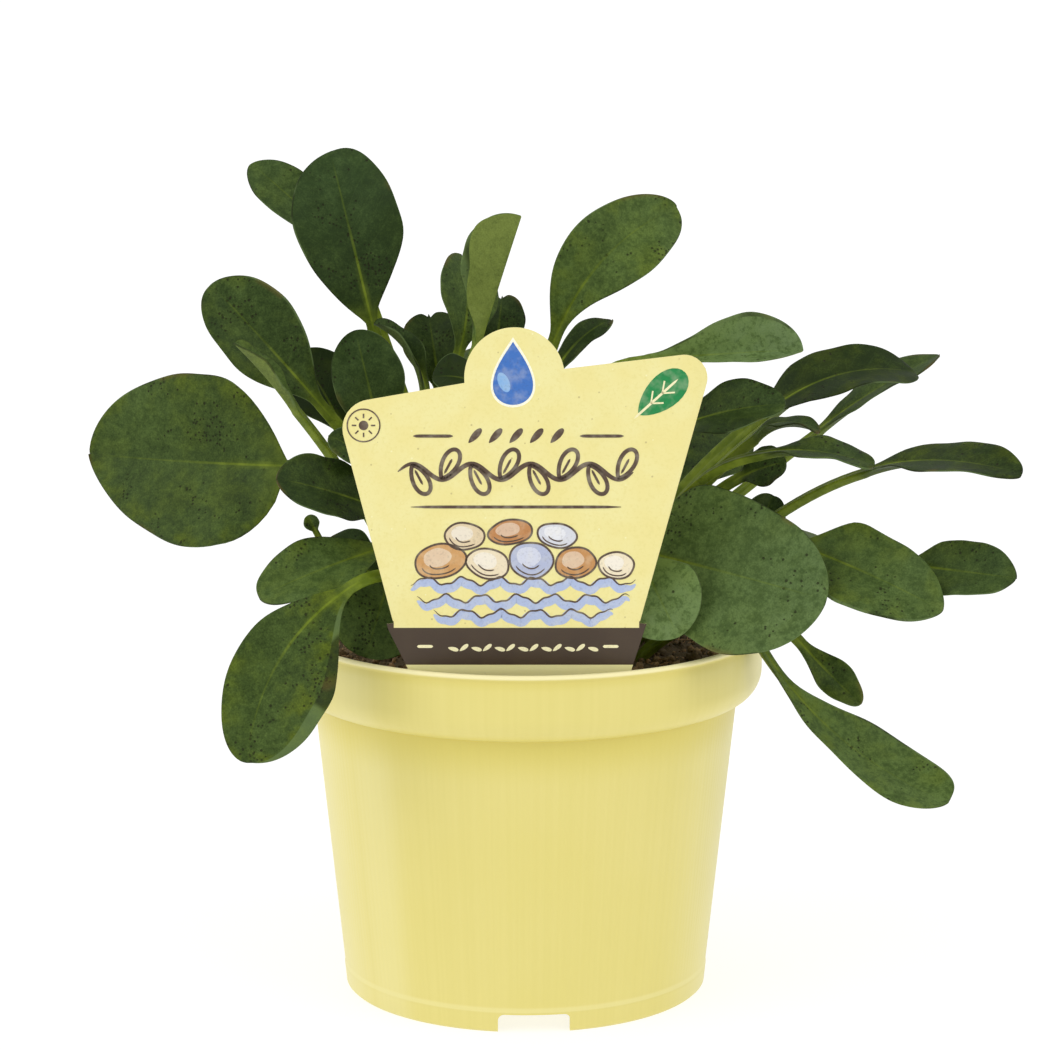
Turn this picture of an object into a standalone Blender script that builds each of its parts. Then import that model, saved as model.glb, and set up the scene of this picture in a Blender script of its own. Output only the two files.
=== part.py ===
"""Oyster plant in a 12 cm nursery pot: the moulded pot, its peat, a stick-in label and one solid per leaf.

Sizes are in millimetres and turned into metres as each mesh is made. +Z is up, the front is -Y, and the
origin is on the ground on the pot's axis.
"""

import math

import bmesh
import bpy
import numpy as np

MM = 0.001
GAP = 0.35  # clearance between pieces that touch

# Pot
RIM_RADIUS = 60.0
POT_HEIGHT = 93.3
COLLAR_HEIGHT = 17.5
COLLAR_CURVE = 7.1  # height of the rounded shoulder under the collar
NECK_RADIUS = 53.8
BASE_RADIUS = 45.8
WALL = 1.3
LIP_ROUND = 0.6
FLOOR_HEIGHT = 5.0
FLOOR_THICKNESS = 1.4
POT_SEGMENTS = 72
NOTCH_WIDTH = 17.8
NOTCH_HEIGHT = 4.7
NOTCH_CORNER = 1.5
NOTCH_ANGLES = (-87.3, 32.7, 152.7)
DRAIN_RADIUS = 4.0
DRAIN_CIRCLE = 29.0
DRAIN_COUNT = 6

# Peat
SOIL_LEVEL = 87.0
SOIL_UNEVEN = 1.1
SOIL_SEGMENTS = 36
SOIL_RINGS = (0.16, 0.36, 0.56, 0.76, 0.92)

# Label, in its own plane: x to the right, v up from the height of the pot's lip. Pairs are left and right.
LABEL_FOOT_Y = -50.5
LABEL_FOOT_Z = 93.0
LABEL_LEAN = 5.0
LABEL_THICKNESS = 0.8
LABEL_TOP_CORNERS = ((-45.4, 63.4), (45.4, 76.4))
LABEL_TOP_ROUNDS = (7.0, 5.5)
LABEL_TAB_CENTRE = (-2.6, 70.0)
LABEL_TAB_RADIUS = 12.0
LABEL_TAB_FEET = ((-14.4, 68.7), (9.2, 72.1))
LABEL_SIDE_FEET = ((-31.7, 11.0), (27.4, 11.0))
LABEL_EARS = ((-33.3, 10.8), (29.1, 10.8))
LABEL_EAR_FEET = ((-32.9, 9.4), (28.6, 9.4))
LABEL_FEET = ((-28.3, 0.0), (25.6, 0.0))
LABEL_CORNERS_BELOW = ((-27.9, -2.5), (25.2, -2.5))
SPIKE_SLANT = 7.0  # degrees that the spike slants in below the lip
SPIKE_SHOULDERS = ((-9.0, -4.0), (7.0, -4.0))
SPIKE_TAPER = ((-6.0, -39.0), (4.0, -39.0))
SPIKE_TIP = ((-2.0, -45.0), (0.0, -45.0))

# Leaves
STALK_WIDTH = 3.2
STALK_DEPTH = 2.6
BLADE_THICKNESS = 0.7
ROOT_LEVEL = 86.0
ROOT_DEPTH = 6.0
HOLE_MARGIN = 0.45  # clearance of the holes in the peat, which have six sides
STALK_SWELLING = 0.25  # how much thicker a stalk is at its root
THIN_THICKNESS = 0.6  # no leaf is thinner
NARROW_HALF = 0.6  # no leaf ends narrower to each side
KEEL_BLUNTNESS = 0.15
MIDRIB_SPREAD = 0.45  # how far the thick midrib spreads, in widths of the stalk
DENT_SPREAD = 0.08  # how wide the dent at a notched tip is, in widths of the blade
LEFT_WAVES, RIGHT_WAVES = 3.2, 3.8  # half-waves along each edge
STALK_STEPS = (0.0, 0.3, 0.65)
BLADE_STEPS = (0.0, 0.12, 0.26, 0.42, 0.58, 0.73, 0.86, 0.95, 1.0)
BLADE_COLUMNS = (-1.0, -0.5, 0.0, 0.5, 1.0)

LEAF_SHAPE = dict(
    fold=12,  # degrees that each half of the blade rises from the midrib
    bow=4,  # height of the blade's arch over the line from foot to tip
    sweep=0,  # sideways arch of the midrib, to the right when positive
    widest=0.58,  # where the blade is widest, from foot 0 to tip 1
    taper=1.35,  # how hollow the sides are near the foot
    blunt=0.5,  # roundness of the tip, 0.5 is an ellipse and more is sharper
    skew=0,  # share that the right half is wider than the left
    lean=0,  # how much nearer the tip the right half is widest, and the left half nearer the foot
    notch=0,  # depth of the dent at the tip
    wave=0.6,  # height of the waves along the edge
    full=0,  # how much fuller near the foot and straighter near the tip the left half is than the right
    stalk=1.0,  # stalk size against the usual one
    rise=0.8,  # how steeply the stalk leaves the soil
    reach=0.38,  # length of the stalk's Bezier handles, as a share of its span
)


def leaf(name, root, foot, tip, width, roll, **shape):
    """One leaf: where its stalk leaves the peat (x, y), where its blade starts and ends, and its width.

    roll turns the blade about its own length: 0 has its upper face to the sky, and a positive angle turns
    that face to the right as seen along the blade from foot to tip.
    """
    placed = dict(name=name, root=root, foot=foot, tip=tip, width=width, roll=roll)
    return {**LEAF_SHAPE, **placed, **shape}


LEAVES = [
    leaf("leaf_left_back_high", (-12, 21), (-46.3, 40, 184.8), (-71.8, 51, 205.3), 14.5, -45, bow=0,
         rise=0.4, reach=0.05),
    leaf("leaf_left_tall", (-14, 8), (-39, 16, 168), (-50, 30, 210.3), 27.5, -35, widest=0.54,
         taper=1.02, skew=-0.01, lean=-0.03, full=0.22),
    leaf("leaf_left_upper", (-20, 3), (-51, 0, 149), (-79, 6, 179), 22.2, -60, bow=1, skew=0.03,
         lean=0.04, full=-0.1),
    leaf("leaf_left_edge_on", (-21, -3), (-55.5, -14, 150.5), (-71, -20, 168), 7, -25, fold=45, bow=0.5,
         rise=0.2),
    leaf("leaf_left_round", (-24, 9), (-62, 24, 129.7), (-115.5, 48, 128.7), 47, -70, widest=0.38,
         taper=0.62, blunt=0.66, bow=0, sweep=-0.5, lean=0.03, full=0.28, rise=2.2, reach=0.42),
    leaf("leaf_left_shaded", (-15.5, 16.5), (-46.3, 21, 138), (-58.8, 27, 158.5), 21, -35, bow=2),
    leaf("leaf_left_low_middle", (-16, -13), (-35, -27, 127.8), (-60, -38, 137.2), 19.5, -45, bow=1,
         widest=0.5, taper=1.0),
    leaf("leaf_left_small", (-16, -7), (-36, -24, 137), (-48, -27, 146), 9, -65, bow=2),
    leaf("leaf_centre_left", (-14, -1), (-35, -14, 140.5), (-42, -12, 169.8), 18.5, -60, bow=0,
         taper=1.1),
    leaf("leaf_centre_curled", (-8, 3), (-24.5, 2, 152.5), (-38, 8, 169), 7, -15, fold=50, bow=3.5),
    leaf("leaf_centre_notched", (-5, 10), (-21.8, 17.5, 150), (-24.8, 23.5, 169.3), 16, -25, notch=1.5),
    leaf("leaf_centre_back", (0, 5), (-16.7, 12, 160.3), (-16, 24, 184.2), 17, 30),
    leaf("leaf_centre_folded", (-3, -1), (-13.5, -4, 165), (-1.5, 0, 197), 21, -10, fold=70, bow=0,
         widest=0.72, skew=-0.28),
    leaf("leaf_centre_small", (1, 13), (-8, 26, 156), (-6, 32, 173), 13.5, 20, notch=1.5),
    leaf("leaf_centre_low", (-7, -9), (-9, -12, 155), (-23, -15, 158.5), 14, -35, bow=2),
    leaf("leaf_right_tall", (7, 9), (7.3, 18, 163), (38.9, 30, 196), 22, 65, sweep=-4.5, widest=0.57,
         lean=0.07, full=0.18),
    leaf("leaf_right_dark", (5, 2), (6, 10, 154), (22, 18, 168.5), 7, 35, bow=4),
    leaf("leaf_right_folded", (6, -5), (29, -12, 162.5), (68, -20, 166), 18.5, 50, fold=40, bow=0.5,
         widest=0.62, taper=1.6, skew=-0.1, lean=-0.06),
    leaf("leaf_right_upper", (11, -9), (35.5, -20, 146.4), (63, -32, 154.4), 17, 40, bow=2, widest=0.55,
         taper=1.0),
    leaf("leaf_right_arched", (17, 2), (60.7, 4, 147.2), (99, 10, 156), 20, 25, bow=5.5, widest=0.47,
         taper=0.75, blunt=0.45, full=0.2, stalk=1.6, rise=0.8),
    leaf("leaf_right_far_back", (16, 10), (75, 24, 139.3), (107, 30, 157.8), 14.5, 10, bow=1, rise=0.3),
    leaf("leaf_right_narrow", (15, -3), (56, -8, 143), (73, -14, 145), 7.5, 10, bow=3, stalk=1.2,
         rise=0.7),
    leaf("leaf_right_bent", (16, -13), (57, -30, 142.6), (84, -40, 140.8), 12, 15, bow=2, rise=0.4),
    leaf("leaf_right_little", (22, -4), (53, -12, 133), (64.5, -16, 137.5), 11, 60, bow=1, rise=0.3),
    leaf("leaf_right_long", (21, -9), (82, -30, 138.2), (117, -58, 141.8), 16, 20, bow=3.2, rise=0.2),
    leaf("leaf_right_hidden", (26, 4), (57, -6, 110.3), (62, -6, 127.3), 12, 75),
    leaf("leaf_right_round", (11, -18), (25, -26, 118), (72, -51, 110), 40, 60, fold=6, bow=1,
         widest=0.48, taper=0.8, lean=0.14),
    leaf("leaf_right_pale", (5, -22), (27, -35, 119), (37, -47, 100), 22, 45, bow=2, blunt=0.6),
    leaf("leaf_right_front", (20, -20), (66, -30, 119.8), (99.5, -54, 108), 25, 35, bow=1.2, widest=0.45,
         taper=1.0, blunt=0.6, skew=0.05, lean=0.1),
    leaf("leaf_right_far", (28, -9), (93, -34, 115.5), (117, -52, 115.5), 17, 45, bow=0, widest=0.47,
         taper=0.8, blunt=0.58),
    leaf("leaf_right_drooping_small", (29, -2), (68.8, -10, 91), (84, -16, 76), 9.5, 50, bow=-1,
         rise=1.5),
    leaf("leaf_right_drooping", (26, -16), (58, -25, 94.2), (104.1, -36, 56), 20, 30, widest=0.75,
         taper=2.1, blunt=0.42, bow=-7.5, skew=-0.04, lean=0.06, full=-0.32, rise=1.3),
    leaf("leaf_left_low", (-13, -18), (-34, -32, 119.6), (-64, -48, 110.1), 18.6, -35, bow=1,
         widest=0.52, taper=1.1),
    leaf("leaf_left_bud", (-24, -12), (-51.3, -26, 121.5), (-53.3, -26, 126), 4, -85, bow=0.5, stalk=0.5,
         wave=0),
    leaf("leaf_left_drooping", (-8, -22), (-42, -50, 113), (-66, -68, 74.2), 26.2, -45, sweep=5,
         widest=0.57, taper=1.15, blunt=0.46, skew=-0.25, lean=0.01, full=-0.12),
    leaf("leaf_left_low_dark", (-20, -20), (-33, -22, 111), (-39, -36, 92.5), 25, -25, widest=0.55,
         taper=1.1),
    leaf("leaf_back_middle", (2, 19), (-4, 38, 138), (-8, 60, 156), 24, -5),
    leaf("leaf_back_right_middle", (12, 15), (40, 30, 122), (57, 50, 134.5), 17, 40, bow=2),
    leaf("leaf_back_left_middle", (-7, 26), (-24, 40, 130), (-40, 66, 138), 24, 10),
    leaf("leaf_back_upper", (0, 30), (1, 46, 130), (3, 66, 129), 25, 0),
    leaf("leaf_back_right", (13, 27), (24, 49, 124), (31, 67, 123), 23, -5),
    leaf("leaf_back_left", (-13, 29), (-21, 48, 110), (-31, 67, 100), 26, 5),
    leaf("leaf_back_low", (7, 24), (10, 48, 110), (16, 68.5, 99), 27, 10),
    leaf("leaf_back_right_low", (15, 20), (34, 42, 112), (56, 62, 108), 26, -5),
    leaf("leaf_back_left_low", (-18, 22), (-38, 44, 115), (-62, 66, 114), 26, 5),
    leaf("leaf_back_far_right", (22, 14), (56, 30, 108), (86, 44, 100), 22, 5),
    leaf("leaf_back_far_left", (-25, 16), (-36, 22, 100), (-55.5, 30, 104.5), 20, -40, bow=2),
]


def srgb(red, green, blue):
    """Linear colour of an sRGB colour given from 0 to 255."""
    levels = [value / 255 for value in (red, green, blue)]
    return [v / 12.92 if v <= 0.04045 else ((v + 0.055) / 1.055) ** 2.4 for v in levels] + [1.0]


def material(name, colour, roughness):
    """A plain Principled BSDF material."""
    made = bpy.data.materials.new(name)
    made.use_nodes = True
    shader = made.node_tree.nodes["Principled BSDF"]
    shader.inputs["Base Color"].default_value = srgb(*colour)
    shader.inputs["Roughness"].default_value = roughness
    shader.inputs["Metallic"].default_value = 0.0
    return made


def add_object(name, mesh, finish):
    """Link a mesh as a named object with its own material, shaded smooth but for its sharp edges."""
    mesh.materials.append(finish)
    mesh.shade_smooth()
    mesh.set_sharp_from_angle(angle=math.radians(40))
    made = bpy.data.objects.new(name, mesh)
    bpy.context.collection.objects.link(made)
    return made


def add_cutter(name, mesh):
    """Link a mesh that only cuts."""
    made = bpy.data.objects.new(name, mesh)
    made.hide_render = True
    made.display_type = "WIRE"
    bpy.context.collection.objects.link(made)
    return made


def mesh_from_bmesh(name, shape):
    """Close a bmesh into a mesh with its faces outwards."""
    bmesh.ops.recalc_face_normals(shape, faces=shape.faces)
    mesh = bpy.data.meshes.new(name)
    shape.to_mesh(mesh)
    shape.free()
    return mesh


def mesh_from_arrays(name, points, faces):
    """Mesh of points in millimetres, with its faces turned outwards."""
    mesh = bpy.data.meshes.new(name)
    mesh.from_pydata((np.asarray(points) * MM).tolist(), [], faces)
    shape = bmesh.new()
    shape.from_mesh(mesh)
    bmesh.ops.recalc_face_normals(shape, faces=shape.faces)
    shape.to_mesh(mesh)
    shape.free()
    return mesh


def cut(target, cutter):
    """Subtract a cutter from an object."""
    modifier = target.modifiers.new("cut_" + cutter.name, "BOOLEAN")
    modifier.operation = "DIFFERENCE"
    modifier.object = cutter


def arc(centre, radii, start, end, steps):
    """Points on an ellipse arc about centre, its angles in degrees."""
    angles = np.radians(np.linspace(start, end, steps + 1))
    return [(centre[0] + radii[0] * math.cos(a), centre[1] + radii[1] * math.sin(a)) for a in angles]


def pot_inner_profile(gap=0.0):
    """Radius and height of the pot's inner wall from its lip down to its floor, moved in by gap."""
    shoulder = POT_HEIGHT - COLLAR_HEIGHT + COLLAR_CURVE
    sizes = (RIM_RADIUS - NECK_RADIUS, COLLAR_CURVE - 0.8)
    curve = arc((NECK_RADIUS - WALL - gap, shoulder + gap), sizes, 0, -90, 3)
    floor = FLOOR_HEIGHT + FLOOR_THICKNESS + gap
    slope = (NECK_RADIUS - BASE_RADIUS) / (POT_HEIGHT - COLLAR_HEIGHT)
    return curve + [(BASE_RADIUS - WALL - gap + slope * floor, floor)]


def add_pot(finish):
    """Turned wall, collar and raised floor, with notches in the foot ring and drainage holes."""
    shoulder = POT_HEIGHT - COLLAR_HEIGHT + COLLAR_CURVE
    foot_inner = BASE_RADIUS - 2.0
    lip = arc((RIM_RADIUS - WALL / 2, POT_HEIGHT - LIP_ROUND), (WALL / 2, LIP_ROUND), 0, 180, 4)
    outer = [(foot_inner, 0.0), (BASE_RADIUS - 0.5, 0.0), (BASE_RADIUS, 0.6)]
    outer += arc((NECK_RADIUS, shoulder), (RIM_RADIUS - NECK_RADIUS, COLLAR_CURVE), -90, 0, 3)
    profile = [(0.0, FLOOR_HEIGHT), (foot_inner, FLOOR_HEIGHT)] + outer + lip + pot_inner_profile()
    profile.append((0.0, FLOOR_HEIGHT + FLOOR_THICKNESS))
    shape = bmesh.new()
    ring = [shape.verts.new((r * MM, 0, z * MM)) for r, z in profile]
    edges = [shape.edges.new(pair) for pair in zip(ring, ring[1:])]
    bmesh.ops.spin(shape, geom=ring + edges, axis=(0, 0, 1), cent=(0, 0, 0), angle=math.tau,
                   steps=POT_SEGMENTS, use_merge=True)
    bmesh.ops.remove_doubles(shape, verts=shape.verts, dist=0.01 * MM)
    pot = add_object("pot", mesh_from_bmesh("pot", shape), finish)
    cut(pot, add_notches())
    cut(pot, add_drains())
    return pot


def add_notches():
    """One cutter of three round-cornered blocks through the foot ring."""
    half, top, corner = NOTCH_WIDTH / 2, NOTCH_HEIGHT, NOTCH_CORNER
    outline = [(-half, -2.0), (half, -2.0)]
    outline += arc((half - corner, top - corner), (corner, corner), 0, 90, 3)
    outline += arc((corner - half, top - corner), (corner, corner), 90, 180, 3)
    shape = bmesh.new()
    for angle in NOTCH_ANGLES:
        turn = math.radians(angle)
        out, across = (math.cos(turn), math.sin(turn)), (-math.sin(turn), math.cos(turn))
        rows = []
        for radius in (BASE_RADIUS - 8.0, BASE_RADIUS + 4.0):
            xy = [[(radius * out[k] + x * across[k]) * MM for k in (0, 1)] for x, _ in outline]
            rows.append([shape.verts.new([*place, z * MM]) for place, (_, z) in zip(xy, outline)])
        shape.faces.new(rows[0])
        shape.faces.new(rows[1])
        for k in range(len(outline)):
            after = (k + 1) % len(outline)
            shape.faces.new((rows[0][k], rows[0][after], rows[1][after], rows[1][k]))
    return add_cutter("pot_notches", mesh_from_bmesh("pot_notches", shape))


def add_drains():
    """One cutter of the round drainage holes in the floor."""
    shape = bmesh.new()
    for k in range(DRAIN_COUNT):
        turn = math.tau * k / DRAIN_COUNT
        made = bmesh.ops.create_cone(shape, cap_ends=True, segments=12, radius1=DRAIN_RADIUS * MM,
                                     radius2=DRAIN_RADIUS * MM, depth=6 * MM)
        place = (DRAIN_CIRCLE * math.cos(turn) * MM, DRAIN_CIRCLE * math.sin(turn) * MM, FLOOR_HEIGHT * MM)
        bmesh.ops.translate(shape, verts=made["verts"], vec=place)
    return add_cutter("pot_drains", mesh_from_bmesh("pot_drains", shape))


def soil_height(x, y):
    """Height of the peat's uneven top: three crossing waves that stay within SOIL_UNEVEN of its level."""
    broad = np.sin(0.21 * x + 0.9) * np.cos(0.17 * y)
    fine = 0.6 * np.sin(0.33 * y - 0.12 * x) + 0.4 * np.cos(0.41 * x)
    return SOIL_LEVEL + SOIL_UNEVEN * (broad + fine) / 2


def add_soil(finish):
    """Peat that fills the pot, with its uneven top, the stalks' holes and the label's slot."""
    wall = pot_inner_profile(GAP)
    turns = np.linspace(0, math.tau, SOIL_SEGMENTS, endpoint=False)
    circle = np.stack([np.cos(turns), np.sin(turns)], 1)
    rim = wall[0][0]
    rows = []
    for share in SOIL_RINGS + (1.0,):
        xy = circle * rim * share
        rows.append(np.column_stack([xy, soil_height(xy[:, 0], xy[:, 1])]))
    for radius, height in wall:
        rows.append(np.column_stack([circle * radius, np.full(SOIL_SEGMENTS, height)]))
    centre_top = [0.0, 0.0, float(soil_height(0.0, 0.0))]
    centre_bottom = [0.0, 0.0, wall[-1][1]]
    points = np.vstack(rows + [centre_top, centre_bottom])
    faces = []
    for row in range(len(rows) - 1):
        for k in range(SOIL_SEGMENTS):
            after = (k + 1) % SOIL_SEGMENTS
            here, below = row * SOIL_SEGMENTS, (row + 1) * SOIL_SEGMENTS
            faces.append((here + k, here + after, below + after, below + k))
    last = (len(rows) - 1) * SOIL_SEGMENTS
    top, bottom = len(points) - 2, len(points) - 1
    for k in range(SOIL_SEGMENTS):
        after = (k + 1) % SOIL_SEGMENTS
        faces.append((top, k, after))
        faces.append((bottom, last + after, last + k))
    soil = add_object("soil", mesh_from_arrays("soil", points, faces), finish)
    cut(soil, add_stalk_holes())
    cut(soil, add_label_slot())
    return soil


def label_point(x, v, depth=0.0):
    """Point of the label: x across, v up in its plane, depth behind its printed face.

    The plate leans back above the lip, and the spike below it slants in, away from the pot's wall.
    """
    lean = math.radians(LABEL_LEAN if v > 0 else -SPIKE_SLANT)
    y = LABEL_FOOT_Y + v * math.sin(lean) + depth * math.cos(lean)
    return x, y, LABEL_FOOT_Z + v * math.cos(lean) - depth * math.sin(lean)


def rounded_corner(before, corner, after, radius, steps=4):
    """Points of the arc that rounds a corner between two straight edges."""
    a, c, b = (np.array(p, float) for p in (before, corner, after))
    to_a, to_b = (a - c) / np.linalg.norm(a - c), (b - c) / np.linalg.norm(b - c)
    half = math.acos(float(to_a @ to_b)) / 2
    start, end = c + to_a * radius / math.tan(half), c + to_b * radius / math.tan(half)
    centre = c + (to_a + to_b) / np.linalg.norm(to_a + to_b) * radius / math.sin(half)
    swing = np.linspace(0, 1, steps + 1)[:, None]
    chord = start + (end - start) * swing - centre
    return [tuple(p) for p in centre + chord / np.linalg.norm(chord, axis=1, keepdims=True) * radius]


def label_outline():
    """Outline of the label, anticlockwise seen from the front, from the spike's tip round and back."""
    sides = []
    for k in (0, 1):
        below = [SPIKE_TIP[k], SPIKE_TAPER[k], SPIKE_SHOULDERS[k], LABEL_CORNERS_BELOW[k], LABEL_FEET[k]]
        sides.append(below + [LABEL_EAR_FEET[k], LABEL_EARS[k], LABEL_SIDE_FEET[k]])
    left, right = sides
    corners = [
        rounded_corner(LABEL_SIDE_FEET[k], LABEL_TOP_CORNERS[k], LABEL_TAB_FEET[k], LABEL_TOP_ROUNDS[k])
        for k in (0, 1)
    ]
    tab = arc(LABEL_TAB_CENTRE, (LABEL_TAB_RADIUS, LABEL_TAB_RADIUS), 10, 186, 12)
    return right + corners[1] + tab + corners[0][::-1] + left[::-1]


def plate(name, outline, front, back):
    """Plate in the label's plane between two depths, creased at v = 0 where its two faces bend."""
    count = len(outline)
    points = [label_point(x, v, depth) for depth in (front, back) for x, v in outline]
    below = [k for k in range(count) if outline[k][1] <= 0]
    above = [k for k in range(count) if outline[k][1] >= 0]
    faces = [(k, (k + 1) % count, (k + 1) % count + count, k + count) for k in range(count)]
    for half in (below, above):
        if len(half) > 2:
            faces += [tuple(half), tuple(k + count for k in half)]
    return mesh_from_arrays(name, points, faces)


def add_label(finish):
    """Stick-in label: a leaning plate with a round tab and a spike."""
    return add_object("label", plate("label", label_outline(), 0.0, LABEL_THICKNESS), finish)


def add_label_slot():
    """Cutter for the slot that the label's spike stands in: the spike's outline grown by the clearance."""
    sides = []
    for k, out in ((0, -GAP), (1, GAP)):
        (tip_x, tip_v), (taper_x, taper_v), (top_x, top_v) = SPIKE_TIP[k], SPIKE_TAPER[k], SPIKE_SHOULDERS[k]
        tip = [(tip_x + out, tip_v - GAP), (taper_x + out, taper_v)]
        sides.append(tip + [(top_x + out, top_v), (top_x + out, 0.0)])
    left, right = sides
    return add_cutter("label_slot", plate("label_slot", right + left[::-1], -GAP, LABEL_THICKNESS + GAP))


def unit(vectors):
    """Vectors scaled to length one."""
    return vectors / np.maximum(np.linalg.norm(vectors, axis=-1, keepdims=True), 1e-9)


def leaf_axis(shape):
    """Direction of the blade from foot to tip, and its upper face's normal turned by roll."""
    along = unit(np.subtract(shape["tip"], shape["foot"]).astype(float))
    up = unit(np.array([0, 0, 1.0]) - along[2] * along)
    roll = math.radians(shape["roll"])
    return along, unit(math.cos(roll) * up + math.sin(roll) * np.cross(along, up))


def blade_spine(shape, s):
    """Midrib from foot (s = 0) to tip (s = 1): a line with a bow along the normal and a sweep sideways."""
    foot, tip = np.array(shape["foot"], float), np.array(shape["tip"], float)
    along, normal = leaf_axis(shape)
    side = np.cross(along, normal)
    arch = (4 * s * (1 - s))[:, None]
    return foot + (tip - foot) * s[:, None] + arch * (normal * shape["bow"] + side * shape["sweep"])


def stalk_handles(shape):
    """The four Bezier points of the stalk, which leaves the peat and runs on smoothly into the midrib."""
    root, foot = np.array([*shape["root"], ROOT_LEVEL], float), np.array(shape["foot"], float)
    ends = blade_spine(shape, np.array([0.0, 0.001]))
    into_blade = unit(ends[1] - ends[0])
    out_of_soil = unit(unit(foot - root) + np.array([0, 0, shape["rise"]]))
    reach = shape["reach"] * np.linalg.norm(foot - root)
    return root, root + out_of_soil * reach, foot - into_blade * reach, foot


def bezier(handles, q):
    """Points of a cubic Bezier at the parameters q."""
    q = np.asarray(q, float)[:, None]
    a, b, c, d = handles
    return (1 - q) ** 3 * a + 3 * (1 - q) ** 2 * q * b + 3 * (1 - q) * q**2 * c + q**3 * d


def leaf_frames(shape, stalk_steps, blade_steps):
    """Centre, direction, upper normal, side and s of each station, from the buried root to the tip.

    s runs from -1.2 at the buried end and -1 at the peat to 0 at the blade's foot and 1 at its tip.
    """
    q, s = np.asarray(stalk_steps, float), np.asarray(blade_steps, float)
    handles = stalk_handles(shape)
    small = 0.001
    out_of_soil = unit(handles[1] - handles[0])
    centres = np.vstack([handles[0] - out_of_soil * ROOT_DEPTH, bezier(handles, q), blade_spine(shape, s)])
    along_stalk = unit(bezier(handles, q + small) - bezier(handles, np.maximum(q - small, 0)))
    along_blade = unit(blade_spine(shape, s + small) - blade_spine(shape, s - small))
    along = np.vstack([out_of_soil, along_stalk, along_blade])
    normal = leaf_axis(shape)[1]
    normals = unit(normal - (along @ normal)[:, None] * along)
    for k in range(len(q), -1, -1):
        normals[k] = unit(normals[k + 1] - (normals[k + 1] @ along[k]) * along[k])
    return centres, along, normals, np.cross(along, normals), np.concatenate([[-1.2], q - 1, s])


def blade_share(shape, s, u):
    """Half-width at s as a share of the widest: a power of a sine from the foot, an ellipse to the tip."""
    s = np.clip(s, 0, 1)[:, None]
    half = np.sign(u)
    widest = shape["widest"] + shape["lean"] * half
    lower = np.sin(0.5 * np.pi * np.clip(s / widest, 0, 1)) ** (shape["taper"] * (1 + shape["full"] * half))
    upper = 1 - np.clip((s - widest) / (1 - widest), 0, 1) ** 2
    upper = upper ** (shape["blunt"] * (1 - shape["full"] * half))
    return np.where(s < widest, lower, upper)


def leaf_surfaces(shape, stalk_steps, blade_steps, columns, grow=0.0):
    """Upper and lower face of a leaf as grids of points: a row for each station, a column for each share u.

    u runs from -1 at the left edge to 1 at the right. Each row is a shallow trough folded at the midrib and
    thickest there, with waves along the blade's edges and a dent at a notched tip. grow makes it all larger.
    """
    centres, along, normals, sides, s = leaf_frames(shape, stalk_steps, blade_steps)
    u = np.asarray(columns, float)[None, :]
    on_blade, on_stalk = np.clip(s, 0, 1)[:, None], np.clip(-s, 0, 1)[:, None]
    swelling = shape["stalk"] * (1 + STALK_SWELLING * on_stalk)
    blade_half = shape["width"] / 2 * blade_share(shape, s, u)
    half = np.sqrt(blade_half**2 + (STALK_WIDTH / 2 * swelling * (1 - on_blade)) ** 2)
    half = np.maximum(half, NARROW_HALF) + grow
    across = half * u * (1 + shape["skew"] * np.sign(u) * (s > 0)[:, None])
    fold = np.radians(shape["fold"]) * np.clip(4 * on_blade, 0, 1)
    keel = np.sqrt(u**2 + KEEL_BLUNTNESS**2) - KEEL_BLUNTNESS
    keel = keel / (math.sqrt(1 + KEEL_BLUNTNESS**2) - KEEL_BLUNTNESS)
    phase = float(shape["root"][0] + shape["root"][1])
    left_ripple = np.sin(LEFT_WAVES * np.pi * s[:, None] + phase)
    right_ripple = np.sin(RIGHT_WAVES * np.pi * s[:, None] + 2 * phase)
    waves = shape["wave"] * u**2 * np.where(u < 0, left_ripple, right_ripple) * np.clip(3 * on_blade, 0, 1)
    dent = shape["notch"] * np.exp(-((across / (DENT_SPREAD * shape["width"])) ** 2)) * on_blade**8
    lift = half * np.sin(fold) * keel + waves
    flat = (across * np.cos(fold))[..., None]
    upper = centres[:, None] + sides[:, None] * flat + normals[:, None] * lift[..., None]
    upper = upper - along[:, None] * dent[..., None]
    middle = STALK_DEPTH * swelling * (1 - 0.75 * on_blade**0.7)
    midrib = np.exp(-((across / (MIDRIB_SPREAD * STALK_WIDTH)) ** 2))
    thickness = BLADE_THICKNESS + (middle - BLADE_THICKNESS) * midrib
    lower = upper - normals[:, None] * (np.maximum(thickness, THIN_THICKNESS) + grow)[..., None]
    return upper + normals[:, None] * grow, lower


def closed_leaf(upper, lower):
    """Points and faces of the solid between two grids, split into triangles alike on both faces."""
    rows, count = upper.shape[:2]
    points = np.vstack([upper.reshape(-1, 3), lower.reshape(-1, 3)])
    index = np.arange(rows * count).reshape(rows, count)
    under = index + rows * count
    faces = []
    for i in range(rows - 1):
        for j in range(count - 1):
            for grid in (index, under):
                a, b, c, d = (int(grid[i + m, j + n]) for m, n in ((0, 0), (0, 1), (1, 1), (1, 0)))
                faces += [(a, b, c), (a, c, d)] if (j < count // 2) else [(a, b, d), (b, c, d)]
        for j in (0, count - 1):
            faces.append(tuple(int(k) for k in (index[i, j], index[i + 1, j], under[i + 1, j], under[i, j])))
    for i in (0, rows - 1):
        for j in range(count - 1):
            faces.append(tuple(int(k) for k in (index[i, j], index[i, j + 1], under[i, j + 1], under[i, j])))
    return points, faces


def add_leaf(shape, finish):
    """One leaf, stalk and blade together."""
    points, faces = closed_leaf(*leaf_surfaces(shape, STALK_STEPS, BLADE_STEPS, BLADE_COLUMNS))
    return add_object(shape["name"], mesh_from_arrays(shape["name"], points, faces), finish)


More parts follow.
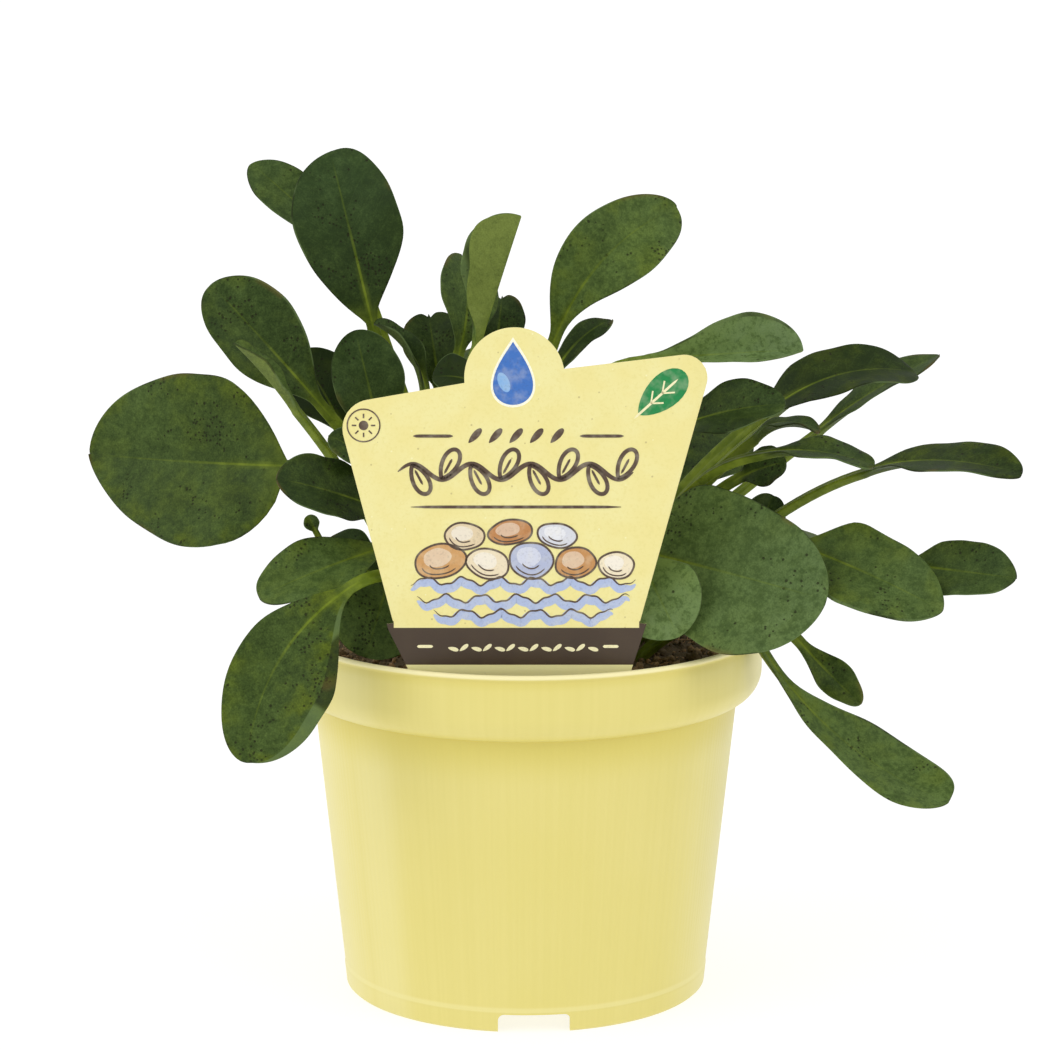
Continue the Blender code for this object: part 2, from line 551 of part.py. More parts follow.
def add_stalk_holes():
    """One cutter of the holes in the peat, each the buried end of its stalk grown by the clearance."""
    shape = bmesh.new()
    for entry in LEAVES:
        handles = stalk_handles(entry)
        deeper = unit(handles[0] - handles[1]) * GAP
        hole = []
        for rows in leaf_surfaces(entry, STALK_STEPS, (0.0,), (-1.0, 0.0, 1.0), grow=HOLE_MARGIN):
            rows[0] += deeper
            rows[2] = (rows[1] + rows[2]) / 2
            hole.append(rows[:3])
        points, faces = closed_leaf(*hole)
        verts = [shape.verts.new(point * MM) for point in points]
        for face in faces:
            shape.faces.new([verts[k] for k in face])
    return add_cutter("stalk_holes", mesh_from_bmesh("stalk_holes", shape))


def main():
    for old in list(bpy.data.objects):
        bpy.data.objects.remove(old, do_unlink=True)
    add_pot(material("pot_plastic", (231, 217, 137), 0.45))
    add_soil(material("peat", (38, 27, 18), 0.95))
    add_label(material("label_plastic", (244, 239, 165), 0.4))
    for shape in LEAVES:
        add_leaf(shape, material(shape["name"] + "_green", (66, 82, 40), 0.5))


main()
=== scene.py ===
# %% [markdown]
# # A young oyster plant in its nursery pot
#
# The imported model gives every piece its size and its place: a turned pot, the peat in it, a stick-in label and one
# solid for each leaf. Those solids are faceted, so each of them is replaced here by a finer surface of the same form,
# with the detail that a solid can't carry: ribs on the plastic, crumbs in the peat, a print on the label, and midribs,
# specks and bloom on the leaves. Sizes are in millimetres, as in the model, and become metres when a mesh is made.

# %% Load the frame
import math

import bmesh
import bpy
import numpy as np
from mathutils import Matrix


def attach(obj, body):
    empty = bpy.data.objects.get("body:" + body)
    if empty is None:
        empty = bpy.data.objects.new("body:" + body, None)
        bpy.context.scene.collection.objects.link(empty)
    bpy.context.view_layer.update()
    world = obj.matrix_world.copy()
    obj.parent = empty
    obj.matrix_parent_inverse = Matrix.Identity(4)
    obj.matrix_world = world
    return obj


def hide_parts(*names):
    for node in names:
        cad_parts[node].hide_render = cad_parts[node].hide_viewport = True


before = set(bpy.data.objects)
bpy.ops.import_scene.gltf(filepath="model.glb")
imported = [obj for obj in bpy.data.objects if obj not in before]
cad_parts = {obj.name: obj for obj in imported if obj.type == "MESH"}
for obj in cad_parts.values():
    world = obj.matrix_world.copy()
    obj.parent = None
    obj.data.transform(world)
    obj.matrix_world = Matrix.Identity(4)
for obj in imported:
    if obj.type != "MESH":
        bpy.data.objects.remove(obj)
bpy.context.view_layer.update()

MM, UP = 0.001, np.array([0, 0, 1.0])

# %% [markdown]
# ## Surfaces on a grid
#
# Nearly every piece is a grid of points: rows along it, columns round it. Blender could make such shapes with Screw,
# Skin or Curve tools, but a grid worked out with numpy has its formula in plain sight, and it is made in one go. A
# ring of columns closes on itself, and a pole, a single point with a fan of triangles, closes each end.

# %% Grids, poles and meshes
def grid_faces(rows, columns, closed=True):
    """Four-sided faces between neighbours in a grid of points; closed joins the last column to the first."""
    index = np.arange(rows * columns).reshape(rows, columns)
    if closed:
        index = np.column_stack([index, index[:, :1]])
    corners = [index[:-1, :-1], index[:-1, 1:], index[1:, 1:], index[1:, :-1]]
    return np.stack(corners, -1).reshape(-1, 4)


def pole_faces(ring, pole):
    """Triangles from each edge of a closed ring of point numbers to the point number of a pole."""
    return np.column_stack([np.roll(ring, -1), ring, np.full(len(ring), pole)])


def closed_tube(grid, first_pole, last_pole):
    """Points and faces of a grid with closed rows, shut by a pole at each end."""
    rows, columns = grid.shape[:2]
    count = rows * columns
    points = np.vstack([grid.reshape(-1, 3), first_pole, last_pole])
    first, last = np.arange(columns), np.arange(count - columns, count)
    fans = [pole_faces(first[::-1], count), pole_faces(last, count + 1)]
    return points, [grid_faces(rows, columns), *fans]


def unit(vectors):
    """Vectors scaled to length one."""
    return vectors / np.maximum(np.linalg.norm(vectors, axis=-1, keepdims=True), 1e-9)


def volume(points, faces):
    """Six times the volume inside the faces, which is negative where they point inwards."""
    total = 0.0
    for group in faces:
        group = np.asarray(group)
        for k in range(1, group.shape[1] - 1):
            a, b, c = (points[group[:, m]] for m in (0, k, k + 1))
            total += float(np.einsum("ij,ij->", a, np.cross(b, c)))
    return total


def make_mesh(name, points, faces, sharp=40):
    """Mesh of points in millimetres and groups of faces, turned outwards and smooth but for sharp edges."""
    if volume(points, faces) < 0:
        faces = [np.asarray(group)[:, ::-1] for group in faces]
    corners = [face for group in faces for face in np.asarray(group).tolist()]
    mesh = bpy.data.meshes.new(name)
    mesh.from_pydata((points * MM).tolist(), [], corners)
    mesh.shade_smooth()
    mesh.set_sharp_from_angle(angle=math.radians(sharp))
    return mesh


def add_attribute(mesh, name, kind, values):
    """Give each point of the mesh a value that the finish can read."""
    made = mesh.attributes.new(name, kind, "POINT")
    key = {"FLOAT": "value", "FLOAT_VECTOR": "vector", "FLOAT_COLOR": "color"}[kind]
    made.data.foreach_set(key, np.ascontiguousarray(values, np.float32).ravel())


def add_piece(name, mesh, finish, slot, *nodes):
    """Link a mesh as a piece that rides on the one body and takes the place of its solids."""
    mesh.materials.append(finish)
    piece = bpy.data.objects.new(name, mesh)
    bpy.context.scene.collection.objects.link(piece)
    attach(piece, "root")
    if nodes:
        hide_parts(*nodes)
    return piece


print("grids: ", grid_faces(3, 4).shape[0], "faces in a ring of 3 rows by 4 columns")

# %% [markdown]
# ## Finishes as expressions
#
# A finish is a tree of shader nodes. Wiring one by hand takes a line per link, so a small class stands for the output
# of a node, and its operators add the Math nodes: `1 - mask * 0.3` is written as it reads. Colours go through Mix
# nodes, since a Math node would turn them grey. Every other node comes from one method, `node`.

# %% A socket that can be calculated with
class Socket:
    """The output of a shader node. Arithmetic with numbers or other outputs adds Math nodes."""

    def __init__(self, finish, output):
        self.finish, self.output = finish, output

    def math(self, operation, *values):
        """A Math node of that operation on the values, which may be numbers or sockets."""
        return self.finish.node("ShaderNodeMath", {"operation": operation}, dict(enumerate(values)))

    def other(self, name):
        """Another output of the same node."""
        return Socket(self.finish, self.output.node.outputs[name])

    def __add__(self, value):
        return self.math("ADD", self, value)

    def __sub__(self, value):
        return self.math("SUBTRACT", self, value)

    def __rsub__(self, value):
        return self.math("SUBTRACT", value, self)

    def __mul__(self, value):
        return self.math("MULTIPLY", self, value)

    def __truediv__(self, value):
        return self.math("DIVIDE", self, value)

    def __neg__(self):
        return self.math("MULTIPLY", self, -1.0)

    def __abs__(self):
        return self.math("ABSOLUTE", self)

    __radd__, __rmul__ = __add__, __mul__

    def ramp(self, low, high):
        """A soft step from 0 at low to 1 at high; with low above high it falls instead."""
        limits = {"Value": self, "From Min": low, "From Max": high}
        return self.finish.node("ShaderNodeMapRange", {"interpolation_type": "SMOOTHSTEP"}, limits)

    def root(self):
        """The square root."""
        return self.math("SQRT", self)

    def fraction(self):
        """What is left after the whole number, which turns a slope into a row of teeth."""
        return self.math("FRACT", self)

    def least(self, value):
        """The smaller of the two."""
        return self.math("MINIMUM", self, value)

    def most(self, value):
        """The larger of the two."""
        return self.math("MAXIMUM", self, value)


def srgb(red, green, blue):
    """Linear colour of an sRGB colour given from 0 to 255."""
    levels = [value / 255 for value in (red, green, blue)]
    return [v / 12.92 if v <= 0.04045 else ((v + 0.055) / 1.055) ** 2.4 for v in levels] + [1.0]


print("middle grey in linear light:", round(srgb(128, 128, 128)[0], 3))


# %% A finish, its nodes and its patterns
class Finish:
    """A material with one Principled shader and the nodes that feed it."""

    def __init__(self, name, **constants):
        self.material = bpy.data.materials.new(name)
        self.material.use_nodes = True
        self.tree = self.material.node_tree
        self.shader = self.tree.nodes["Principled BSDF"]
        for socket, value in constants.items():
            self.shader.inputs[socket.replace("_", " ")].default_value = value

    def set(self, socket, value):
        """Link an output to the socket, or give it a plain value."""
        if isinstance(value, Socket):
            self.tree.links.new(value.output, socket)
        else:
            socket.default_value = value

    def node(self, kind, settings, values):
        """A node of that kind: its settings first, then the values or links of its sockets by name or number."""
        made = self.tree.nodes.new(kind)
        for key, setting in settings.items():
            setattr(made, key, setting)
        for key, value in values.items():
            usable = [s for s in made.inputs if s.enabled]
            socket = usable[key] if isinstance(key, int) else next(s for s in usable if s.name == key)
            self.set(socket, value)
        return Socket(self, next(s for s in made.outputs if s.enabled))

    def feed(self, **values):
        """Link values to the shader's own sockets."""
        for name, value in values.items():
            self.set(self.shader.inputs[name.replace("_", " ")], value)

    def place(self):
        """Position on the object, in metres."""
        return self.node("ShaderNodeTexCoord", {}, {}).other("Object")

    def attribute(self, name):
        """A number that the mesh carries."""
        return self.node("ShaderNodeAttribute", {"attribute_name": name}, {}).other("Fac")

    def attribute_parts(self, name):
        """The three numbers of a vector that the mesh carries."""
        return self.parts(self.node("ShaderNodeAttribute", {"attribute_name": name}, {}).other("Vector"))

    def parts(self, vector):
        """The x, y and z of a vector."""
        split = self.node("ShaderNodeSeparateXYZ", {}, {"Vector": vector})
        return split, split.other("Y"), split.other("Z")

    def vector(self, x, y, z):
        """The vector of three numbers."""
        return self.node("ShaderNodeCombineXYZ", {}, {"X": x, "Y": y, "Z": z})

    def noise(self, where, size, detail=2.0, rough=0.5):
        """Cloudy noise from 0 to 1 with lumps of about that size, in millimetres."""
        values = {"Vector": where, "Scale": 1 / (size * MM), "Detail": detail, "Roughness": rough}
        return self.node("ShaderNodeTexNoise", {}, values)

    def cells(self, where, size):
        """Distance from the middle of the nearest cell, in cells of about that size in millimetres."""
        return self.node("ShaderNodeTexVoronoi", {}, {"Vector": where, "Scale": 1 / (size * MM)})

    def cell_lot(self, cells):
        """A random number from 0 to 1 for each cell."""
        return self.node("ShaderNodeSeparateColor", {}, {"Color": cells.other("Color")})

    def mix(self, mask, base, over):
        """Base colour where the mask is 0, and the other colour where it is 1."""
        return self.node("ShaderNodeMix", {"data_type": "RGBA"}, {"Factor": mask, "A": base, "B": over})

    def bump(self, height, depth):
        """Surface relief: depth is how far, in millimetres, a height of 1 stands out."""
        return self.node("ShaderNodeBump", {}, {"Height": height, "Distance": depth * MM, "Strength": 1.0})


print("finishes: ready")

# %% [markdown]
# ## Camera, light and floor
#
# The photograph is a studio shot from the front and slightly above, with a long lens: the pot's rim is a flat ellipse
# and its sides hardly converge. A long lens nearly a metre away gives the same look. The light is even and almost
# without shadow, as on a light table in a white tent, so a white sky, a glowing floor and two suns with very wide
# discs, one to each side of the camera, stand for it.

# %% Camera, lamps and floor
LENS_LENGTH, CAMERA_PLACE, CAMERA_DOWN = 126.6, (-0.0001, -0.916, 0.292), 10.72
SHEET_HALF, SHEET_GREY, SHEET_GLOW = 12000.0, 160, 0.72


def add_camera():
    """A long lens nearly a metre in front of the pot, which looks a few degrees down from level."""
    lens = bpy.data.cameras.new("camera")
    lens.lens, lens.sensor_width = LENS_LENGTH, 36.0
    camera = bpy.data.objects.new("camera", lens)
    camera.location = CAMERA_PLACE
    camera.rotation_euler = (math.radians(90 - CAMERA_DOWN), 0.0, 0.0)
    bpy.context.scene.collection.objects.link(camera)
    bpy.context.scene.camera = camera


def add_sun(name, strength, width, rise, turn):
    """A sun with a disc of that many degrees, which stands that high and turned that far right of the camera."""
    lamp = bpy.data.lights.new(name, "SUN")
    lamp.energy, lamp.angle = strength, math.radians(width)
    sun = bpy.data.objects.new(name, lamp)
    sun.rotation_euler = (math.radians(90 - rise), 0.0, math.radians(turn))
    bpy.context.scene.collection.objects.link(sun)


def add_sky(strength):
    """The same white light from every side."""
    world = bpy.data.worlds.new("studio")
    world.use_nodes = True
    shade = world.node_tree.nodes["Background"]
    shade.inputs["Color"].default_value = (1.0, 1.0, 1.0, 1.0)
    shade.inputs["Strength"].default_value = strength
    bpy.context.scene.world = world


def add_floor():
    """A white sheet, 24 m across, lit from below, that runs on behind the object."""
    corners = SHEET_HALF * np.array([[-1, -1, 0], [1, -1, 0], [1, 1, 0], [-1, 1, 0]])
    grey = srgb(SHEET_GREY, SHEET_GREY, SHEET_GREY)
    paper = Finish("floor_paper", Base_Color=grey, Roughness=0.9, Emission_Strength=SHEET_GLOW)
    paper.feed(Emission_Color=srgb(255, 255, 255))
    mesh = make_mesh("floor", corners, [np.array([[0, 1, 2, 3]])])
    mesh.materials.append(paper.material)
    floor = bpy.data.objects.new("floor", mesh)
    bpy.context.scene.collection.objects.link(floor)


add_camera()
add_sky(0.7)
add_sun("left_light", 0.72, 45, 38, -60)
add_sun("right_light", 0.6, 45, 42, 60)
add_floor()
bpy.context.scene.view_settings.view_transform = "Standard"
print("camera, suns, sky and floor in place")

# %% [markdown]
# ## The pot
#
# A nursery pot is moulded in thin plastic with a wide collar, a rolled lip and fine upright ribs, about 1.5 mm apart,
# that keep its wall stiff. A Screw modifier could turn its profile, but the ribs need the radius to change with the
# angle as well, so the pot is one function of height and angle: the profile's radius, less a shallow cosine where the
# wall is ribbed. Round-cornered blocks and short rods then cut the notches of the foot and the drainage holes.

# %% The pot's profile and ribs
RIM_RADIUS, POT_HEIGHT, COLLAR_HEIGHT, COLLAR_CURVE = 60.0, 93.3, 17.5, 7.1
NECK_RADIUS, BASE_RADIUS, WALL, FOOT_WIDTH, FOOT_STEP = 53.8, 45.8, 1.3, 2.0, 0.18
WALL_ROWS = [0.6, 1.2, 4.6, 5.0, 5.5, 8.0, 20, 32, 44, 56, 66, 71, 74.4, 75.5]
FLOOR_HEIGHT, FLOOR_THICKNESS = 5.0, 1.4
NOTCH_WIDTH, NOTCH_HEIGHT, NOTCH_CORNER, NOTCH_ANGLES = 17.8, 4.7, 1.5, (-87.3, 32.7, 152.7)
DRAIN_RADIUS, DRAIN_CIRCLE, DRAIN_COUNT = 4.0, 29.0, 6
RIB_COUNT, RIB_DEPTH, RIB_STEPS, COLLAR_RIBBING = 209, 0.045, 4, 0.6


def arc(centre, radii, start, end, steps):
    """Points on an ellipse arc about centre, its angles in degrees."""
    angles = np.radians(np.linspace(start, end, steps + 1))
    return np.column_stack([centre[0] + radii[0] * np.cos(angles), centre[1] + radii[1] * np.sin(angles)])


def pot_profile():
    """Rows of radius, height and share of ribbing, from the underside round the lip to the floor's middle."""
    shoulder = POT_HEIGHT - COLLAR_HEIGHT + COLLAR_CURVE
    neck = shoulder - COLLAR_CURVE
    slope = (NECK_RADIUS - BASE_RADIUS) / neck
    heights = np.array(WALL_ROWS)
    ribbing = np.clip((heights - FLOOR_HEIGHT) / 3, 0, 1)
    ribbing[-1] = 0.0
    proud = FOOT_STEP * (heights <= FLOOR_HEIGHT)
    wall = np.column_stack([BASE_RADIUS + slope * heights + proud, heights, ribbing])
    under = arc((NECK_RADIUS, shoulder), (RIM_RADIUS - NECK_RADIUS, COLLAR_CURVE), -90, 0, 12)
    collar = [(RIM_RADIUS, 86.5, COLLAR_RIBBING), (RIM_RADIUS, 90.9, COLLAR_RIBBING),
              (RIM_RADIUS - 0.25, 91.5, 0), (RIM_RADIUS - 0.2, 91.8, 0)]
    lip = arc((RIM_RADIUS - 0.6, POT_HEIGHT - 0.7), (0.9, 0.7), -35, 190, 10)
    inner = arc((NECK_RADIUS - WALL, shoulder), (RIM_RADIUS - NECK_RADIUS, COLLAR_CURVE - 0.8), 0, -90, 8)
    low = FLOOR_HEIGHT + FLOOR_THICKNESS
    floor_edge = BASE_RADIUS - WALL + slope * low
    inside = [(floor_edge + 0.4, low + 1.2, 0), (floor_edge - 0.2, low + 0.15, 0), (floor_edge - 1.2, low, 0),
              (floor_edge / 2, low, 0)]
    foot_in, foot_out = BASE_RADIUS - FOOT_WIDTH, BASE_RADIUS - 0.4
    foot = [(foot_in * 0.5, FLOOR_HEIGHT, 0), (foot_in, FLOOR_HEIGHT, 0), (foot_in, 0.0, 0), (foot_out, 0.0, 0)]
    parts = [foot, wall, under, collar, lip, inner, inside]
    padded = []
    for part in parts:
        part = np.asarray(part, float)
        padded.append(part if part.shape[1] == 3 else np.column_stack([part, np.zeros(len(part))]))
    return np.vstack(padded)


def turned_pot():
    """Radius of the profile less a cosine of the angle for the ribs, at every angle of a full turn."""
    profile = pot_profile()
    turn = np.linspace(0, math.tau, RIB_COUNT * RIB_STEPS, endpoint=False)
    ribs = RIB_DEPTH * profile[:, 2:3] * (0.5 - 0.5 * np.cos(RIB_COUNT * turn))
    radius = profile[:, 0:1] - ribs
    height = np.broadcast_to(profile[:, 1:2], radius.shape)
    grid = np.stack([radius * np.cos(turn), radius * np.sin(turn), height], -1)
    return closed_tube(grid, [[0, 0, FLOOR_HEIGHT]], [[0, 0, FLOOR_HEIGHT + FLOOR_THICKNESS]])


pot_points, pot_faces = turned_pot()
print("pot:", len(pot_points), "points, with", RIB_COUNT, "ribs")


# %% Notches and drainage holes
def block_along(outline, start, end):
    """Points and faces of a straight block with that outline, a grid of two rows with its middle at each end."""
    grid = np.stack([start(outline), end(outline)])
    middles = grid.mean(1)
    return closed_tube(grid, middles[:1], middles[1:])


def notch_cutter():
    """Three blocks with round upper corners, which pass outwards through the foot at their angles."""
    half, top, corner = NOTCH_WIDTH / 2, NOTCH_HEIGHT, NOTCH_CORNER
    left = arc((corner - half, top - corner), (corner, corner), 90, 180, 6)
    right = arc((half - corner, top - corner), (corner, corner), 0, 90, 6)
    outline = np.vstack([[(-half, -2.0), (half, -2.0)], right, left])
    blocks = []
    for angle in np.radians(NOTCH_ANGLES):
        out = np.array([math.cos(angle), math.sin(angle), 0])
        across = np.array([-math.sin(angle), math.cos(angle), 0])

        def at(radius):
            return lambda shape: radius * out + shape[:, :1] * across + shape[:, 1:] * UP

        blocks.append(block_along(outline, at(BASE_RADIUS - 8), at(BASE_RADIUS + 4)))
    return blocks


def drain_cutter():
    """Upright rods on a circle, which pass through the floor."""
    def level(height):
        return lambda shape: np.column_stack([shape, np.full(len(shape), height)])

    rods = []
    for turn in np.arange(DRAIN_COUNT) * math.tau / DRAIN_COUNT:
        middle = (DRAIN_CIRCLE * math.cos(turn), DRAIN_CIRCLE * math.sin(turn))
        outline = arc(middle, (DRAIN_RADIUS, DRAIN_RADIUS), 0, 360, 32)[:-1]
        rods.append(block_along(outline, level(2.0), level(9.0)))
    return rods


def joined(parts):
    """Points and faces of several closed shapes as one."""
    start, points, faces = 0, [], []
    for shape_points, shape_faces in parts:
        if volume(shape_points, shape_faces) < 0:
            shape_faces = [np.asarray(group)[:, ::-1] for group in shape_faces]
        points.append(shape_points)
        faces += [np.asarray(group) + start for group in shape_faces]
        start += len(shape_points)
    return np.vstack(points), faces


def cut_mesh(mesh, cutter_parts, name):
    """The mesh with the closed shapes taken out of it, as a new mesh with nothing left to work out."""
    cutter = bpy.data.objects.new(name + "_cutter", make_mesh(name + "_cutter", *joined(cutter_parts)))
    target = bpy.data.objects.new(name + "_blank", mesh)
    for made in (cutter, target):
        bpy.context.scene.collection.objects.link(made)
    modifier = target.modifiers.new("cut", "BOOLEAN")
    modifier.operation, modifier.solver, modifier.object = "DIFFERENCE", "EXACT", cutter
    result = bpy.data.meshes.new_from_object(target.evaluated_get(bpy.context.evaluated_depsgraph_get()))
    for made in (cutter, target):
        bpy.data.objects.remove(made)
    result.name = name
    result.set_sharp_from_angle(angle=math.radians(40))
    return result


pot_mesh = cut_mesh(make_mesh("pot_blank", pot_points, pot_faces), notch_cutter() + drain_cutter(), "pot_shell")
print("pot shell:", len(pot_mesh.polygons), "faces")

# %% [markdown]
# ## The pot's plastic
#
# The plastic is a pale, slightly see-through yellow with a satin skin. Its colour hardly varies: faint upright streaks
# follow the flow of the plastic in the mould, and broad clouds make it a little deeper or paler. Painted shade makes it
# deeper under the collar and the lip, and painted light makes the lip itself nearly cream, as where light passes
# through it. The left and right sides and a streak near the left one are painted paler as painted highlights, and the
# line over the foot is a little paler than the rest. The upright streaks are noise on a tall, narrow grid: the position
# divided by its distance from the axis keeps their width the same all the way up.

# %% Pale yellow satin plastic
def pot_finish():
    """Yellow, changed by masks of the height, the turn about the axis and three sizes of noise."""
    finish = Finish("pale_yellow_plastic", IOR=1.46)
    place = finish.place()
    x, y, z = finish.parts(place)
    radius = (x * x + y * y).root().most(0.001)
    around = finish.vector(x / radius * 0.054, y / radius * 0.054, z * 0.006)
    streaks = finish.noise(around, 1.4, detail=1.0)
    clouds = finish.noise(place, 28)
    grain = finish.noise(place, 0.5, detail=1.0)
    base = finish.mix(streaks.ramp(0.3, 0.7), srgb(227, 214, 127), srgb(229, 216, 130))
    base = finish.mix(clouds.ramp(0.3, 0.75) * 0.4, base, srgb(225, 212, 119))
    height, side = z / MM, x / radius
    # Painted highlights: the left and right sides and a streak near the left one are painted paler, where the sides
    # catch the light.
    painted_side_highlights = (abs(side + 0.72).ramp(0.16, 0.02) * 0.3).most(abs(side).ramp(0.7, 1.02) * 0.4)
    base = finish.mix(painted_side_highlights, base, srgb(242, 234, 172))
    # Painted shade: the yellow is deeper under the collar.
    painted_collar_shade = height.ramp(63.0, 75.0) * height.ramp(77.4, 75.4)
    foot_line = height.ramp(5.0, 5.4) * height.ramp(6.8, 6.0)
    base = finish.mix(painted_collar_shade * 0.75, base, srgb(219, 204, 98))
    base = finish.mix(foot_line * 0.5, base, srgb(240, 230, 160))
    # Painted shade under the lip, and painted light on the lip itself, which is painted nearly cream where light shines
    # through it.
    base = finish.mix(height.ramp(89.0, 91.5) * 0.4, base, srgb(219, 203, 100))
    base = finish.mix(height.ramp(92.0, 92.7), base, srgb(248, 238, 180))
    rough = 0.4 + 0.1 * (clouds - 0.5) + 0.08 * (grain - 0.5)
    finish.feed(Base_Color=base, Roughness=rough, Normal=finish.bump(grain * 0.6 + streaks * 0.4, 0.012))
    return finish.material


add_piece("nursery_pot", pot_mesh, pot_finish(), "pot_plastic", "pot")
print("pot dressed")

# %% [markdown]
# ## The peat
#
# Peat is a springy mass of dark crumbs with a few reddish-brown fibres. A displaced disc alone looks like tar, and
# thousands of crumbs alone would leave holes, so the two are combined: a bed with an uneven top, which fills the pot
# as the solid does, and a layer of loose crumbs and fibres on it, which are made as one mesh of small rough shapes.

# %% The bed of peat
SOIL_LEVEL, SOIL_UNEVEN, SOIL_RIM, SOIL_SHOULDER, SOIL_FOOT = 87.0, 1.1, 58.35, 84.35, 6.75
GROUND_RELIEF, GROUND_SEED, CRUMB_SEED = 0.55, 3, 7
CRUMB_SPREAD, CRUMB_REACH, FIBRE_SPREAD, FIBRE_REACH, FIBRE_LOT = 57.3, 57.6, 52, 56.5, 1.4
chance = np.random.default_rng(CRUMB_SEED)


def soil_height(x, y):
    """Height of the peat's top in the model: three crossing waves about its level."""
    broad = np.sin(0.21 * x + 0.9) * np.cos(0.17 * y)
    fine = 0.6 * np.sin(0.33 * y - 0.12 * x) + 0.4 * np.cos(0.41 * x)
    return SOIL_LEVEL + SOIL_UNEVEN * (broad + fine) / 2


def rough_ground(x, y, seed, count=48, coarse=9.0, fine=1.3):
    """Sum of waves in every direction, whose height goes with their length, within about 1 either way."""
    lot = np.random.default_rng(seed)
    length = np.exp(lot.uniform(math.log(fine), math.log(coarse), count))
    turn, start = lot.uniform(0, math.tau, (2, count))
    across = np.cos(turn) * x[..., None] + np.sin(turn) * y[..., None]
    waves = length / coarse * np.sin(across * math.tau / length + start)
    return waves.sum(-1) / math.sqrt((length**2).sum()) * coarse


def peat_top(x, y):
    """Height of the uneven top: the model's, with the waves of the rough ground on it."""
    return soil_height(x, y) + GROUND_RELIEF * rough_ground(x, y, GROUND_SEED)


def peat_bed():
    """The top as rings of points that end at the pot's wall, then the wall's own profile down to the floor."""
    turn = np.linspace(0, math.tau, 220, endpoint=False)
    share = np.linspace(0.012, 1.0, 66)[:, None]
    x, y = SOIL_RIM * share * np.cos(turn), SOIL_RIM * share * np.sin(turn)
    top = np.stack([x, y, peat_top(x, y)], -1)
    inner = arc((NECK_RADIUS - WALL - 0.35, SOIL_SHOULDER), (RIM_RADIUS - NECK_RADIUS, COLLAR_CURVE - 0.8), 0, -90, 6)
    side = np.vstack([inner, [(46.0, 12.0), (45.2, SOIL_FOOT), (22.0, SOIL_FOOT)]])
    heights = np.repeat(side[:, 1:], len(turn), 1)
    wall = np.stack([side[:, :1] * np.cos(turn), side[:, :1] * np.sin(turn), heights], -1)
    centre = float(soil_height(0.0, 0.0))
    return closed_tube(np.concatenate([top, wall]), [[0, 0, centre]], [[0, 0, SOIL_FOOT]])


bed_points, bed_faces = peat_bed()
print("peat bed:", len(bed_points), "points")


# %% Crumbs and fibres
def lump_shape():
    """The twenty triangles of a round lump and its twelve points on a ball of radius 1."""
    ball = bmesh.new()
    bmesh.ops.create_icosphere(ball, subdivisions=1, radius=1.0)
    points = np.array([v.co for v in ball.verts])
    faces = np.array([[v.index for v in f.verts] for f in ball.faces])
    ball.free()
    return points, faces


def crumbs(count, smallest, largest, lift):
    """Copies of the lump: each stretched, turned and dented at random, on the peat's top. Points, faces and lots."""
    points, faces = lump_shape()
    size = np.exp(chance.uniform(math.log(smallest), math.log(largest), count))[:, None, None]
    dented = points * (1 + 0.3 * chance.uniform(-1, 1, (count, len(points), 1)))
    dented = dented * size / 2 * chance.uniform(0.55, 1.25, (count, 1, 3))
    axes = np.linalg.qr(chance.normal(size=(count, 3, 3)))[0]
    turned = np.einsum("kij,kpj->kpi", axes, dented)
    out, turn = CRUMB_SPREAD * np.sqrt(chance.uniform(0, 1, count)), chance.uniform(0, math.tau, count)
    x, y = out * np.cos(turn), out * np.sin(turn)
    reach = np.minimum(1.0, (CRUMB_REACH - size[:, 0, 0] / 2) / np.maximum(out, 1))
    x, y = x * reach, y * reach
    placed = turned + np.stack([x, y, peat_top(x, y) + lift * size[:, 0, 0]], -1)[:, None]
    shifted = faces[None] + (np.arange(count) * len(points))[:, None, None]
    lots = np.repeat(chance.uniform(0, 1, count), len(points))
    return placed.reshape(-1, 3), [shifted.reshape(-1, 3)], lots


def fibres(count):
    """Thin three-sided strands: a short arc in a random direction on the peat, which narrows to both ends."""
    t = np.linspace(0, 1, 7)
    length, curl = chance.uniform(4, 13, count)[:, None], chance.uniform(-1.1, 1.1, count)[:, None]
    out, turn, heading = FIBRE_SPREAD * np.sqrt(chance.uniform(0, 1, count)), *chance.uniform(0, math.tau, (2, count))
    angle = heading[:, None] + curl * (t - 0.5) * 2
    steps = np.stack([np.cos(angle), np.sin(angle)], -1) * (length / 6)[..., None]
    path = np.cumsum(steps, 1) - steps.mean(1, keepdims=True) * 3.5
    path = path + np.stack([out * np.cos(turn), out * np.sin(turn)], -1)[:, None]
    path *= np.minimum(1.0, FIBRE_REACH / np.maximum(np.linalg.norm(path, axis=-1, keepdims=True), 1))
    x, y = path[..., 0], path[..., 1]
    rise = chance.uniform(0, 0.9, count)[:, None] * np.sin(t * 3.1)
    centre = np.stack([x, y, peat_top(x, y) + 0.35 + rise], -1)
    thick = 0.2 * np.sin(0.25 + t * 2.6)[None, :, None, None]
    ring = np.linspace(0, math.tau, 3, endpoint=False)
    side = np.stack([-np.sin(angle), np.cos(angle), np.zeros_like(angle)], -1)[:, :, None]
    lifted = np.cos(ring)[:, None] * side + np.sin(ring)[:, None] * UP
    grid = centre[:, :, None] + lifted * thick
    first = (np.arange(count) * 21)[:, None, None]
    quads = grid_faces(7, 3)[None] + first
    ends = np.array([[0, 1, 2], [20, 19, 18]])[None] + first
    return grid.reshape(-1, 3), [quads.reshape(-1, 4), ends.reshape(-1, 3)], np.full(count * 21, FIBRE_LOT)


loose = [crumbs(2600, 0.7, 1.8, 0.15), crumbs(520, 1.6, 3.6, 0.12), fibres(150)]
crumb_mesh = make_mesh("loose_peat", *joined([(points, faces) for points, faces, _ in loose]), sharp=180)
add_attribute(crumb_mesh, "lot", "FLOAT", np.concatenate([lots for _, _, lots in loose]))
print("loose peat:", len(crumb_mesh.polygons), "faces")


